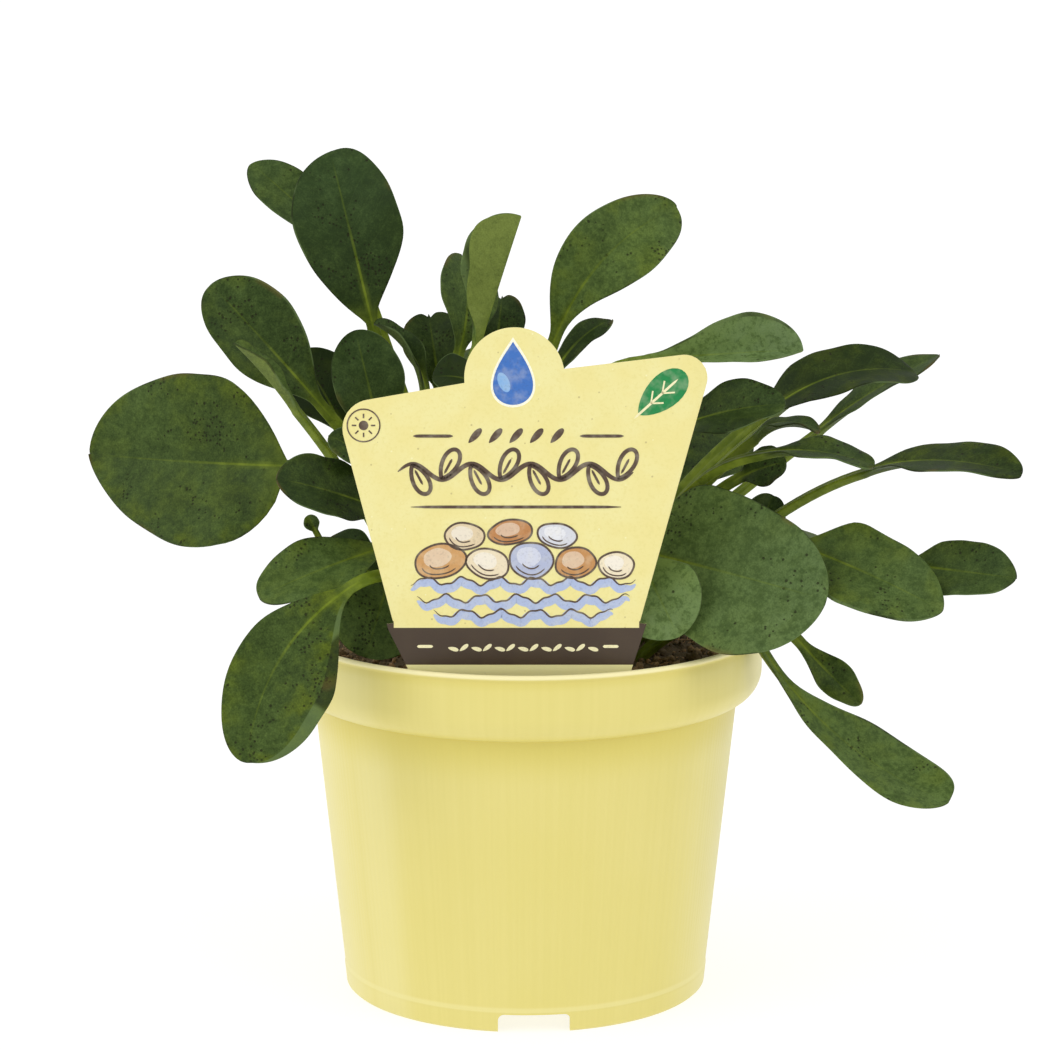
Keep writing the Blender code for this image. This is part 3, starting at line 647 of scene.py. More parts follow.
# %% [markdown]
# ## The peat's finish
#
# Moist peat is a dark brown, and its drier crumbs are a dull reddish brown. Each crumb carries a random number, the
# mesh attribute `lot`, which picks its brown, and the fibres carry a number above 1, which makes them the palest.

# %% Dark crumbly peat
def peat_finish():
    """A brown for each crumb's lot, paler for fibres, with darker grain."""
    finish = Finish("damp_peat", IOR=1.4)
    place = finish.place()
    lot = finish.attribute("lot")
    clump, grain = finish.noise(place, 5.0), finish.noise(place, 0.6, detail=3.0, rough=0.7)
    base = finish.mix((0.6 * lot + 0.7 * (clump - 0.4)).ramp(0.1, 0.85), srgb(104, 88, 62), srgb(188, 152, 108))
    base = finish.mix(lot.ramp(0.88, 0.97) * 0.8, base, srgb(190, 148, 104))
    base = finish.mix(grain.ramp(0.6, 0.35) * 0.45, base, srgb(66, 54, 38))
    finish.feed(Base_Color=base, Roughness=0.78 + 0.2 * grain, Normal=finish.bump(grain + clump, 0.35))
    return finish.material


peat = peat_finish()
add_piece("peat_bed", make_mesh("peat_bed", bed_points, bed_faces), peat, "peat", "soil")
add_piece("loose_peat", crumb_mesh, peat, "peat")
print("peat dressed")

# %% [markdown]
# ## The label
#
# The label is a stiff printed plastic plate, pushed into the peat by a spike. Its outline is a list of corners and
# arcs. An extruded curve with a bevel would do, but the outline is also needed to place the print, so it is carried
# round the plate's edge as a grid: each row is the outline moved in or out a little, which rounds the edge. The front
# and the back are then filled, split at the line where the plate bends towards its spike.

# %% The label's outline in its own plane
LABEL_FOOT_Y, LABEL_FOOT_Z, LABEL_LEAN, LABEL_THICKNESS, SPIKE_SLANT = -50.5, 93.0, 5.0, 0.8, 7.0
LABEL_TOP_CORNERS, LABEL_TOP_ROUNDS = ((-45.4, 63.4), (45.4, 76.4)), (7.0, 5.5)
LABEL_TAB_CENTRE, LABEL_TAB_RADIUS, LABEL_TAB_FEET = (-2.6, 70.0), 12.0, ((-14.4, 68.7), (9.2, 72.1))
LABEL_SIDE_FEET, LABEL_EARS = ((-31.7, 11.0), (27.4, 11.0)), ((-33.3, 10.8), (29.1, 10.8))
LABEL_EAR_FEET, LABEL_FEET = ((-32.9, 9.4), (28.6, 9.4)), ((-28.3, 0.0), (25.6, 0.0))
LABEL_CORNERS_BELOW, SPIKE_SHOULDERS = ((-27.9, -2.5), (25.2, -2.5)), ((-9.0, -4.0), (7.0, -4.0))
SPIKE_TAPER, SPIKE_TIP = ((-6.0, -39.0), (4.0, -39.0)), ((-2.0, -45.0), (0.0, -45.0))


def label_place(xv, depth):
    """Points of the label: x across, v up in its plane, and a depth behind its printed face."""
    x, v = xv[..., 0], xv[..., 1]
    lean = np.radians(np.where(v > 0, LABEL_LEAN, -SPIKE_SLANT))
    y = LABEL_FOOT_Y + v * np.sin(lean) + depth * np.cos(lean)
    return np.stack([x, y, LABEL_FOOT_Z + v * np.cos(lean) - depth * np.sin(lean)], -1)


def rounded_corner(before, corner, after, radius, steps=10):
    """The arc that rounds a corner between two straight edges."""
    a, c, b = (np.array(p, float) for p in (before, corner, after))
    to_a, to_b = unit(a - c), unit(b - c)
    half = math.acos(float(to_a @ to_b)) / 2
    start, end = c + to_a * radius / math.tan(half), c + to_b * radius / math.tan(half)
    centre = c + unit(to_a + to_b) * radius / math.sin(half)
    chord = start + (end - start) * np.linspace(0, 1, steps + 1)[:, None] - centre
    return centre + unit(chord) * radius


def label_outline():
    """Outline of the label, anticlockwise seen from the front, from the spike's tip round and back."""
    left, right = (
        [SPIKE_TIP[k], SPIKE_TAPER[k], SPIKE_SHOULDERS[k], LABEL_CORNERS_BELOW[k], LABEL_FEET[k], LABEL_EAR_FEET[k],
         LABEL_EARS[k], LABEL_SIDE_FEET[k]]
        for k in (0, 1)
    )
    corners = [
        rounded_corner(LABEL_SIDE_FEET[k], LABEL_TOP_CORNERS[k], LABEL_TAB_FEET[k], LABEL_TOP_ROUNDS[k])
        for k in (0, 1)
    ]
    tab = arc(LABEL_TAB_CENTRE, (LABEL_TAB_RADIUS, LABEL_TAB_RADIUS), 10, 186, 48)
    return np.vstack([right, corners[1], tab, corners[0][::-1], left[::-1]])


def moved_in(outline, inset):
    """The outline moved inwards: each point goes along the mean of its two edges' inward directions."""
    edge = unit(np.roll(outline, -1, 0) - outline)
    inward = np.column_stack([-edge[:, 1], edge[:, 0]])
    mean = unit(inward + np.roll(inward, 1, 0))
    stretch = np.maximum((mean * inward).sum(1, keepdims=True), 0.5)
    return outline + mean * inset / stretch


def label_plate():
    """Rows of the outline round the rounded edge, from the front face to the back, and both faces filled."""
    outline = label_outline()
    rows = [(0.18, 0.0), (0.05, 0.05), (0.0, 0.18), (0.0, 0.62), (0.05, 0.75), (0.18, LABEL_THICKNESS)]
    flat = np.stack([moved_in(outline, inset) for inset, _ in rows])
    flat[:, outline[:, 1] == 0, 1] = 0.0
    depth = np.array([d for _, d in rows])[:, None]
    grid = label_place(flat, depth)
    count = len(outline)
    halves = [np.flatnonzero(outline[:, 1] <= 0), np.flatnonzero(outline[:, 1] >= 0)]
    fills = [half[None] + start for half in halves for start in (0, count * (len(rows) - 1))]
    fills = [fill if start else fill[:, ::-1] for fill, start in zip(fills, (0, 1, 0, 1))]
    quads = grid_faces(len(rows), count)
    marks = np.stack([*np.moveaxis(flat, -1, 0), np.broadcast_to(depth < 0.3, flat.shape[:2])], -1)
    return grid.reshape(-1, 3), [quads, *fills], marks.reshape(-1, 3)


plate_points, plate_faces, plate_marks = label_plate()
plate_mesh = bpy.data.meshes.new("label_plate")
plate_mesh.from_pydata((plate_points * MM).tolist(), [], [f for group in plate_faces for f in group.tolist()])
shape = bmesh.new()
shape.from_mesh(plate_mesh)
bmesh.ops.recalc_face_normals(shape, faces=shape.faces)
shape.to_mesh(plate_mesh)
shape.free()
plate_mesh.shade_smooth()
plate_mesh.set_sharp_from_angle(angle=math.radians(50))
add_attribute(plate_mesh, "print", "FLOAT_VECTOR", plate_marks)
print("label plate:", len(plate_mesh.polygons), "faces")

# %% [markdown]
# ## The label's finish
#
# The plate is printed all over in pale yellow with the fine specks of recycled paper, and a brown band runs along its
# foot. Both follow the plate, so the mesh carries its own x and v in millimetres as the attribute `print`, with a
# third number that is 1 on the printed side, and the band is a soft step between two heights.

# %% Cream paper with flecks, and the brown band
def label_finish():
    """Flecked paper with painted light below the band, brown where v is in the band and on the two ears that stand out
    at its ends.
    """
    finish = Finish("printed_label", IOR=1.45)
    x, v, front = finish.attribute_parts("print")
    place = finish.place()
    cloud, fine = finish.noise(place, 9.0), finish.noise(place, 0.8, detail=3.0, rough=0.6)
    specks = finish.cells(place, 1.6)
    lot = finish.cell_lot(specks)
    paper = finish.mix(cloud.ramp(0.3, 0.7), srgb(240, 231, 162), srgb(238, 226, 150))
    paper = finish.mix(fine.ramp(0.45, 0.75) * 0.5, paper, srgb(230, 218, 138))
    paper = finish.mix(specks.ramp(0.2, 0.1) * lot.ramp(0.9, 0.93) * 0.45, paper, srgb(150, 128, 84))
    paper = finish.mix(specks.ramp(0.16, 0.08) * lot.ramp(0.08, 0.05) * 0.5, paper, srgb(255, 252, 214))
    # Painted light: below the band, down inside the rim, the paper is painted paler, as if lit through the pot's
    # plastic.
    paper = finish.mix(v.ramp(1.0, 0.8) * 0.8, paper, srgb(255, 250, 186))
    ears = (-x - 31.6).ramp(-0.05, 0.05).most((x - 27.3).ramp(-0.05, 0.05)) * v.ramp(9.0, 9.2) * v.ramp(11.6, 11.4)
    band = (v.ramp(0.92, 1.0) * v.ramp(9.94, 9.86)).most(ears) * front.ramp(0.4, 0.6)
    brown = finish.mix(cloud.ramp(0.3, 0.7), srgb(72, 57, 40), srgb(67, 52, 37))
    base = finish.mix(band, paper, brown)
    finish.feed(Base_Color=base, Roughness=0.42 + 0.1 * fine, Normal=finish.bump(fine, 0.012))
    return finish.material


add_piece("label_plate", plate_mesh, label_finish(), "label_plastic", "label")
print("label dressed")

# %% [markdown]
# ## The label's print
#
# The label has plain motifs of its own: rules, a leafy vine, pebbles over waves, a drop, a leaf and a little sun. A
# picture would do on a flat plate, but here each motif is ink a few hundredths of a millimetre thick. A line is a
# strip: a path with a width at each point. A filled patch is rings of its outline that shrink to its middle. All of
# them are one mesh, and each point carries the colour of its ink.

# %% Strips and patches of ink
INK_BROWN, INK_CREAM, INK_SUNK = (84, 66, 52), (248, 240, 190), 0.15
ink_parts, ink_colours = [], []


def add_ink(points, faces, colour):
    """Keep a motif's points and faces, and its colour for each point."""
    ink_parts.append((points, faces))
    ink_colours.append(np.tile(srgb(*colour), (len(points), 1)))


def strip(path, width, colour=INK_BROWN, closed=False, height=0.07):
    """A line of ink: two edges to either side of the path, a low front and a back sunk in the plate."""
    path = np.asarray(path, float)
    ahead, behind = (np.roll(path, -1, 0), np.roll(path, 1, 0)) if closed else (
        np.vstack([path[1:], 2 * path[-1] - path[-2]]), np.vstack([2 * path[0] - path[1], path[:-1]]))
    along = unit(ahead - behind)
    widths = np.broadcast_to(np.atleast_1d(width), len(path))
    side = np.column_stack([-along[:, 1], along[:, 0]]) * widths[:, None] / 2
    edges = [(side, INK_SUNK), (side * 0.96, -height), (side * -0.96, -height), (-side, INK_SUNK)]
    grid = np.stack([label_place(path + offset, depth) for offset, depth in edges], 1)
    if closed:
        grid = np.concatenate([grid, grid[:1]])
        points, faces = grid[:-1].reshape(-1, 3), grid_faces(*grid.shape[:2]) % (len(path) * 4)
        return add_ink(points, [faces], colour)
    last = len(path) * 4
    ends = np.array([[3, 2, 1, 0], [last - 4, last - 3, last - 2, last - 1]])
    return add_ink(grid.reshape(-1, 3), [grid_faces(*grid.shape[:2]), ends], colour)


def patch(outline, colour, height=0.045):
    """A filled shape: its outline sunk in the plate and again in front of it, and rings that shrink to the middle."""
    outline = np.asarray(outline, float)
    middle = outline.mean(0)
    rings = [(1.0, INK_SUNK), (1.0, -height), (0.66, -height), (0.33, -height)]
    grid = np.stack([label_place(middle + (outline - middle) * share, depth) for share, depth in rings])
    poles = [label_place(middle[None], depth) for depth in (INK_SUNK, -height)]
    return add_ink(*closed_tube(grid, *poles), colour)


def along_line(start, end, steps=16):
    """Evenly spaced points of a straight line."""
    return np.linspace(0, 1, steps)[:, None] * np.subtract(end, start) + start


def heading(degrees):
    """The direction at that many degrees from the x axis, of length 1."""
    return np.array([math.cos(math.radians(degrees)), math.sin(math.radians(degrees))])


def turned_about(x, v, degrees, centre):
    """Points x, v turned by that many degrees: x goes along the new heading, v across it, from the centre."""
    along = heading(degrees)
    return np.column_stack([x * along[0] - v * along[1], x * along[1] + v * along[0]]) + centre


def brushed(width, steps=16):
    """Width of a brush stroke: full for most of its length, and round at both ends."""
    t = np.linspace(-1, 1, steps)
    return width * np.sqrt(np.clip(1 - np.abs(t) ** 9, 0.03, 1))


def leaf_shape(base, length, wide, turn, steps=28):
    """Outline of a plain leaf: from its base to its tip and back, widest past the middle, turned by an angle."""
    t = np.linspace(0, math.tau, steps, endpoint=False)
    along, across = (1 - np.cos(t)) / 2 * length, np.sin(t) * np.abs(np.sin(t / 2)) ** 0.5 * wide / 2
    return turned_about(along, across, turn, base)


def oval(centre, radii, turn=0.0, steps=40, wobble=0.0, seed=1):
    """An ellipse turned by an angle, with a wobble of three slow waves."""
    t = np.linspace(0, math.tau, steps, endpoint=False)
    swing = 1 + wobble * (np.sin(2 * t + seed) + 0.6 * np.sin(3 * t + 2.3 * seed) + 0.4 * np.sin(5 * t + seed * seed))
    return turned_about(radii[0] * swing * np.cos(t), radii[1] * swing * np.sin(t), turn, centre)


print("inks: strips, patches, leaves and ovals")


# %% Rules, sun, drop and leaf
SUN_CENTRE, DROP_CENTRE, LEAF_BASE, LEAF_TURN = np.array([-38.65, 58.6]), np.array([-2.96, 71.3]), (27.0, 61.2), 42.0


def print_small_marks():
    """Rules, a row of little leaves on the band, five seeds, and a sun: a ring, a dot and eight rays."""
    strip(along_line((-26.8, 56.06), (-17.3, 56.06)), brushed(0.8))
    strip(along_line((13.0, 56.06), (23.5, 56.06)), brushed(0.8))
    strip(along_line((-27.4, 39.04), (22.9, 39.04)), brushed(0.75))
    strip(along_line((-26.0, 5.4), (-22.2, 5.4)), brushed(0.75), INK_CREAM)
    strip(along_line((18.6, 5.4), (22.4, 5.4)), brushed(0.75), INK_CREAM)
    for k, x in enumerate(np.linspace(-18.6, 15.0, 13)):
        patch(leaf_shape((x, 4.3 if k % 2 else 5.1), 2.6, 1.15, 38 if k % 2 else -14), INK_CREAM)
    for x in (-13.6, -8.7, -3.8, 1.1, 6.0):
        patch(leaf_shape((x, 54.4), 4.6, 1.9, 48), INK_BROWN)
    strip(oval(SUN_CENTRE, (3.9, 3.9)), 0.34, closed=True)
    patch(oval(SUN_CENTRE, (1.15, 1.15)), INK_BROWN)
    for turn in np.arange(8) * 45:
        ray = heading(turn)
        strip(along_line(SUN_CENTRE + ray * 1.75, SUN_CENTRE + ray * 2.8, 5), 0.36)


def print_drop():
    """A falling drop: x is a sine that fades towards the top, v is a cosine."""
    t = np.linspace(0, math.tau, 48, endpoint=False)
    shape = np.column_stack([7.2 * np.sin(t) * np.abs(np.sin(t / 2)) ** 1.2, 8.4 * np.cos(t)])
    patch(shape + DROP_CENTRE, (255, 252, 226), 0.03)
    patch(shape * 0.9 + DROP_CENTRE - (0, 0.25), (58, 112, 190), 0.05)
    patch(oval(DROP_CENTRE + (-2.2, -2.4), (1.3, 2.5), 24), (128, 176, 226), 0.07)


def print_leaf_mark():
    """A green leaf at the upper right, with a pale midrib and four side veins."""
    patch(leaf_shape(LEAF_BASE, 15.0, 9.4, LEAF_TURN), (18, 134, 68), 0.04)
    way = heading(LEAF_TURN)
    strip(along_line(LEAF_BASE - way * 1.5, LEAF_BASE + way * 12.6), brushed(0.6), INK_CREAM)
    for step, swing in ((4.0, 40), (4.0, -40), (7.6, 38), (7.6, -38)):
        start = LEAF_BASE + way * step
        strip(along_line(start, start + 3.0 * heading(LEAF_TURN + swing), 6), 0.4, INK_CREAM)


print_small_marks()
print_drop()
print_leaf_mark()
print("small marks:", len(ink_parts))


# %% A vine, and pebbles over waves
VINE_START, VINE_END, VINE_LEVEL, VINE_SWING, VINE_WAVE = -30.5, 25.8, 47.5, 1.9, 14.1


def print_vine():
    """A waving stem with an outlined leaf at every crest and trough."""
    x = np.linspace(VINE_START, VINE_END, 120)
    wave = VINE_SWING * np.sin((x - VINE_START) * math.tau / VINE_WAVE)
    strip(np.column_stack([x, VINE_LEVEL + wave]), brushed(1.15, 120))
    for k in range(8):
        up = 1 if k % 2 else -1
        base = (VINE_START + 3.5 + VINE_WAVE / 2 * k, VINE_LEVEL - up * (VINE_SWING - 0.4))
        strip(leaf_shape(base, 7.6, 4.3, 62 * up, 40), 1.0, closed=True)
        way = heading(62 * up)
        strip(along_line(base + way * 1.2, base + way * 5.2, 8), brushed(0.6, 8))


def print_waves():
    """Three rows of low waves: a broad pale stroke with a thin brown crest."""
    for row, (v, start, end) in enumerate(((21.2, -27.5, 26.4), (17.0, -26.0, 25.0), (13.4, -22.0, 21.0))):
        x = np.linspace(start, end, 110)
        crest = 0.9 * np.sin((x + 4 * row) * math.tau / 8.6) + 0.25 * np.sin(x * 1.9)
        strip(np.column_stack([x, v - 1.1 + crest]), brushed(2.3, 110), (176, 190, 222), height=0.03)
        strip(np.column_stack([x, v + crest]), brushed(0.42, 110))


def print_pebble(k, centre, radii, turn, colour):
    """A stone: a coloured patch, a paler patch on it, a brown outline, and two curved bands inside."""
    centre, outline = np.array(centre), oval(centre, radii, turn, 44, 0.035, k + 1)
    patch(outline, colour, 0.05)
    inner = centre + (outline - centre) * 0.55 + (-0.12 * radii[0], 0.2 * radii[1])
    patch(inner, tuple(int(c + (250 - c) * 0.45) for c in colour), 0.06)
    strip(outline, 0.5, closed=True, height=0.08)
    for share in (0.45, 0.78):
        strip(centre + (outline[24:40] - centre) * share, brushed(0.34, 16), height=0.08)


def print_pebbles():
    """Five stones on the waves and three on top of them: centre, radii, turn and colour of each."""
    stones = [
        ((-20.4, 26.0), (6.0, 4.2), 8, (206, 156, 96)),
        ((-9.0, 25.4), (5.0, 3.7), -10, (236, 220, 186)),
        ((1.4, 26.2), (5.2, 4.4), 5, (178, 186, 212)),
        ((12.0, 25.6), (5.0, 3.6), 12, (196, 142, 84)),
        ((21.8, 25.0), (4.4, 3.1), -6, (240, 226, 194)),
        ((-14.6, 32.0), (4.8, 3.2), -6, (226, 206, 168)),
        ((-3.6, 33.0), (5.2, 3.0), 6, (190, 132, 78)),
        ((7.6, 32.2), (4.6, 3.0), -8, (214, 216, 224)),
    ]
    for k, stone in enumerate(stones):
        print_pebble(k, *stone)


print_vine()
print_waves()
print_pebbles()
ink_mesh = make_mesh("label_print", *joined(ink_parts), sharp=30)
add_attribute(ink_mesh, "ink", "FLOAT_COLOR", np.vstack(ink_colours))
print("label print:", len(ink_parts), "motifs,", len(ink_mesh.polygons), "faces")


# %% [markdown]
# ## Ink
#
# Ink on rough paper is never quite even, so its colour is lightened a little where a fine noise is high, and it keeps
# the satin of the plate below it.

# %% Slightly uneven ink
def ink_finish():
    """Each point's own ink, paler in a slow noise and darker in a fine one."""
    finish = Finish("label_ink", IOR=1.45)
    colour = finish.node("ShaderNodeAttribute", {"attribute_name": "ink"}, {})
    place = finish.place()
    fine, wash = finish.noise(place, 0.5, detail=3.0), finish.noise(place, 2.4)
    base = finish.mix(wash.ramp(0.4, 0.75) * 0.16, colour, srgb(250, 244, 214))
    base = finish.mix(fine.ramp(0.5, 0.75) * 0.18, base, srgb(60, 46, 36))
    finish.feed(Base_Color=base, Roughness=0.46 + 0.1 * fine, Normal=finish.bump(fine, 0.01))
    return finish.material


add_piece("label_print", ink_mesh, ink_finish(), "label_plastic")
print("print dressed")

# %% [markdown]
# ## One leaf as a surface
#
# An oyster plant's leaf is thick and spoon-shaped: a round stalk with a channel along its top runs into a midrib, and
# the blade spreads from it. The model gives each leaf a root, a foot where the blade starts, a tip, a width and a
# turn. A leaf could be a subdivided plane bent by a curve, but then its thickness would come from a modifier and would
# be the same all over. Here the leaf is a closed tube: its rows are stations along the midrib, and each row is a ring
# round the section, flat and wide on the blade and round on the stalk.

# %% What the model says of each leaf
STALK_WIDTH, STALK_DEPTH, BLADE_THICKNESS = 3.2, 2.6, 0.7
ROOT_LEVEL, ROOT_DEPTH, STALK_SWELLING = 86.0, 6.0, 0.25
KEEL_BLUNTNESS, MIDRIB_SPREAD, DENT_SPREAD, LEFT_WAVES, RIGHT_WAVES = 0.15, 0.45, 0.08, 3.2, 3.8
LEAF_SHAPE = dict(fold=12, bow=4, sweep=0, widest=0.58, taper=1.35, blunt=0.5, skew=0, lean=0, notch=0, wave=0.6,
                  full=0, stalk=1.0, rise=0.8, reach=0.38)


def leaf(name, root, foot, tip, width, roll, tone=(0.45, 0.35, 0.3), **shape):
    """Where a leaf stands and how it is shaped, as in the model. tone: how light (partly painted shade), yellow,
    bloomy.
    """
    placed = dict(name=name, root=root, foot=foot, tip=tip, width=width, roll=roll, tone=tone)
    return {**LEAF_SHAPE, **placed, **shape}


# The first tone number, how light a leaf is, is partly painted shade and light: leaves that lie in deep shade, such as
# left_shaded, centre_low and back_far_left, have dark tones, and a few shaded leaves, such as left_low_dark, are
# lighter.
LEAVES = [
    leaf("left_back_high", (-12, 21), (-46.3, 40, 184.8), (-71.8, 51, 205.3), 14.5, -45, (0.45, 0.3, 0.4), bow=0,
         rise=0.4, reach=0.05),
    leaf("left_tall", (-14, 8), (-39, 16, 168), (-50, 30, 210.3), 27.5, -35, (0.12, 0.1, 0.5), widest=0.54,
         taper=1.02, skew=-0.01, lean=-0.03, full=0.22),
    leaf("left_upper", (-20, 3), (-51, 0, 149), (-79, 6, 179), 22.2, -60, (0.3, 0.4, 0.25), bow=1, skew=0.03,
         lean=0.04, full=-0.1),
    leaf("left_edge_on", (-21, -3), (-55.5, -14, 150.5), (-71, -20, 168), 7, -25, (0.7, 0.4, 0.3), fold=45, bow=0.5,
         rise=0.2),
    leaf("left_round", (-24, 9), (-62, 24, 129.7), (-115.5, 48, 128.7), 47, -70, (0.48, 0.55, 0.15), widest=0.38,
         taper=0.62, blunt=0.66, bow=0, sweep=-0.5, lean=0.03, full=0.28, rise=2.2, reach=0.42),
    leaf("left_shaded", (-15.5, 16.5), (-46.3, 21, 138), (-58.8, 27, 158.5), 21, -35, (-0.1, 0.3, 0), bow=2),
    leaf("left_low_middle", (-16, -13), (-35, -27, 127.8), (-60, -38, 137.2), 19.5, -45, (0.22, 0.25, 0.15), bow=1,
         widest=0.5, taper=1.0),
    leaf("left_small", (-16, -7), (-36, -24, 137), (-48, -27, 146), 9, -65, (0.25, 0.3, 0.2), bow=2),
    leaf("centre_left", (-14, -1), (-35, -14, 140.5), (-42, -12, 169.8), 18.5, -60, (0.2, 0.1, 0.45), bow=0,
         taper=1.1),
    leaf("centre_curled", (-8, 3), (-24.5, 2, 152.5), (-38, 8, 169), 7, -15, (0.25, 0.2, 0.4), fold=50, bow=3.5),
    leaf("centre_notched", (-5, 10), (-21.8, 17.5, 150), (-24.8, 23.5, 169.3), 16, -25, (0.2, 0.25, 0.25), notch=1.5),
    leaf("centre_back", (0, 5), (-16.7, 12, 160.3), (-16, 24, 184.2), 17, 30, (0.45, 0.3, 0.25)),
    leaf("centre_folded", (-3, -1), (-13.5, -4, 165), (-1.5, 0, 197), 21, -10, (0.95, 0.5, 0.4), fold=70, bow=0,
         widest=0.72, skew=-0.28),
    leaf("centre_small", (1, 13), (-8, 26, 156), (-6, 32, 173), 13.5, 20, (0.15, 0.15, 0.3), notch=1.5),
    leaf("centre_low", (-7, -9), (-9, -12, 155), (-23, -15, 158.5), 14, -35, (-0.3, 0.2, 0), bow=2),
    leaf("right_tall", (7, 9), (7.3, 18, 163), (38.9, 30, 196), 22, 65, (0.68, 0.45, 0.2), sweep=-4.5, widest=0.57,
         lean=0.07, full=0.18),
    leaf("right_dark", (5, 2), (6, 10, 154), (22, 18, 168.5), 7, 35, (0.05, 0.2, 0.1), bow=4),
    leaf("right_folded", (6, -5), (29, -12, 162.5), (68, -20, 166), 18.5, 50, (1.15, 0.1, 0.95), fold=40, bow=0.5,
         widest=0.62, taper=1.6, skew=-0.1, lean=-0.06),
    leaf("right_upper", (11, -9), (35.5, -20, 146.4), (63, -32, 154.4), 17, 40, (0.2, 0.25, 0.25), bow=2,
         widest=0.55, taper=1.0),
    leaf("right_arched", (17, 2), (60.7, 4, 147.2), (99, 10, 156), 20, 25, (0.05, 0.45, 0), bow=5.5, widest=0.47,
         taper=0.75, blunt=0.45, full=0.2, stalk=1.6, rise=0.8),
    leaf("right_far_back", (16, 10), (75, 24, 139.3), (107, 30, 157.8), 14.5, 10, (0.35, 0.35, 0.3), bow=1, rise=0.3),
    leaf("right_narrow", (15, -3), (56, -8, 143), (73, -14, 145), 7.5, 10, (0.35, 0.3, 0.3), bow=3, stalk=1.2,
         rise=0.7),
    leaf("right_bent", (16, -13), (57, -30, 142.6), (84, -40, 140.8), 12, 15, (0.3, 0.35, 0.2), bow=2, rise=0.4),
    leaf("right_little", (22, -4), (53, -12, 133), (64.5, -16, 137.5), 11, 60, (0.3, 0.3, 0.2), bow=1, rise=0.3),
    leaf("right_long", (21, -9), (82, -30, 138.2), (117, -58, 141.8), 16, 20, (0.15, 0.5, 0), bow=3.2, rise=0.2),
    leaf("right_hidden", (26, 4), (57, -6, 110.3), (62, -6, 127.3), 12, 75, (0.2, 0.2, 0.1)),
    leaf("right_round", (11, -18), (25, -26, 118), (72, -51, 110), 40, 60, (0.7, 0.25, 0.65), fold=6, bow=1,
         widest=0.48, taper=0.8, lean=0.14),
    leaf("right_pale", (5, -22), (27, -35, 119), (37, -47, 100), 22, 45, (1.05, 0.3, 0.75), bow=2, blunt=0.6),
    leaf("right_front", (20, -20), (66, -30, 119.8), (99.5, -54, 108), 25, 35, (0.6, 0.5, 0.4), bow=1.2, widest=0.45,
         taper=1.0, blunt=0.6, skew=0.05, lean=0.1),
    leaf("right_far", (28, -9), (93, -34, 115.5), (117, -52, 115.5), 17, 45, (0.4, 0.3, 0.35), bow=0, widest=0.47,
         taper=0.8, blunt=0.58),
    leaf("right_drooping_small", (29, -2), (68.8, -10, 91), (84, -16, 76), 9.5, 50, (0.4, 0.4, 0.1), bow=-1,
         rise=1.5),
    leaf("right_drooping", (26, -16), (58, -25, 94.2), (104.1, -36, 56), 20, 30, (0.8, 0.45, 0.25), widest=0.75,
         taper=2.1, blunt=0.42, bow=-7.5, skew=-0.04, lean=0.06, full=-0.32, rise=1.3),
    leaf("left_low", (-13, -18), (-34, -32, 119.6), (-64, -48, 110.1), 18.6, -35, (0.62, 0.4, 0.25), bow=1,
         widest=0.52, taper=1.1),
    leaf("left_bud", (-24, -12), (-51.3, -26, 121.5), (-53.3, -26, 126), 4, -85, (0.5, 0.6, 0.1), bow=0.5, stalk=0.5,
         wave=0),
    leaf("left_drooping", (-8, -22), (-42, -50, 113), (-66, -68, 74.2), 26.2, -45, (0.45, 0.7, 0.1), sweep=5,
         widest=0.57, taper=1.15, blunt=0.46, skew=-0.25, lean=0.01, full=-0.12),
    leaf("left_low_dark", (-20, -20), (-33, -22, 111), (-39, -36, 92.5), 25, -25, (0.65, 0.2, 0.2), widest=0.55,
         taper=1.1),
    leaf("back_middle", (2, 19), (-4, 38, 138), (-8, 60, 156), 24, -5, (0.45, 0.35, 0.3)),
    leaf("back_right_middle", (12, 15), (40, 30, 122), (57, 50, 134.5), 17, 40, (0.3, 0.4, 0.1), bow=2),
    leaf("back_left_middle", (-7, 26), (-24, 40, 130), (-40, 66, 138), 24, 10, (0.5, 0.4, 0.3)),
    leaf("back_upper", (0, 30), (1, 46, 130), (3, 66, 129), 25, 0, (0.4, 0.4, 0.4)),
    leaf("back_right", (13, 27), (24, 49, 124), (31, 67, 123), 23, -5, (0.5, 0.5, 0.3)),
    leaf("back_left", (-13, 29), (-21, 48, 110), (-31, 67, 100), 26, 5, (0.45, 0.45, 0.3)),
    leaf("back_low", (7, 24), (10, 48, 110), (16, 68.5, 99), 27, 10, (0.55, 0.55, 0.3)),
    leaf("back_right_low", (15, 20), (34, 42, 112), (56, 62, 108), 26, -5, (0.45, 0.35, 0.4)),
    leaf("back_left_low", (-18, 22), (-38, 44, 115), (-62, 66, 114), 26, 5, (0.4, 0.35, 0.4)),
    leaf("back_far_right", (22, 14), (56, 30, 108), (86, 44, 100), 22, 5, (0.5, 0.45, 0.3)),
    leaf("back_far_left", (-25, 16), (-36, 22, 100), (-55.5, 30, 104.5), 20, -40, (0.1, 0.3, 0.2), bow=2),
]
print(len(LEAVES), "leaves")


# %% The line that a leaf follows
def leaf_axis(shape):
    """Direction of the blade from foot to tip, and its upper face's normal turned by roll."""
    along = unit(np.subtract(shape["tip"], shape["foot"]).astype(float))
    up = unit(UP - along[2] * along)
    roll = math.radians(shape["roll"])
    return along, unit(math.cos(roll) * up + math.sin(roll) * np.cross(along, up))


def blade_spine(shape, s):
    """Midrib from foot (s = 0) to tip (s = 1): a line with a bow along the normal and a sweep sideways."""
    foot, tip = np.array(shape["foot"], float), np.array(shape["tip"], float)
    along, normal = leaf_axis(shape)
    side = np.cross(along, normal)
    arch = (4 * s * (1 - s))[:, None]
    return foot + (tip - foot) * s[:, None] + arch * (normal * shape["bow"] + side * shape["sweep"])


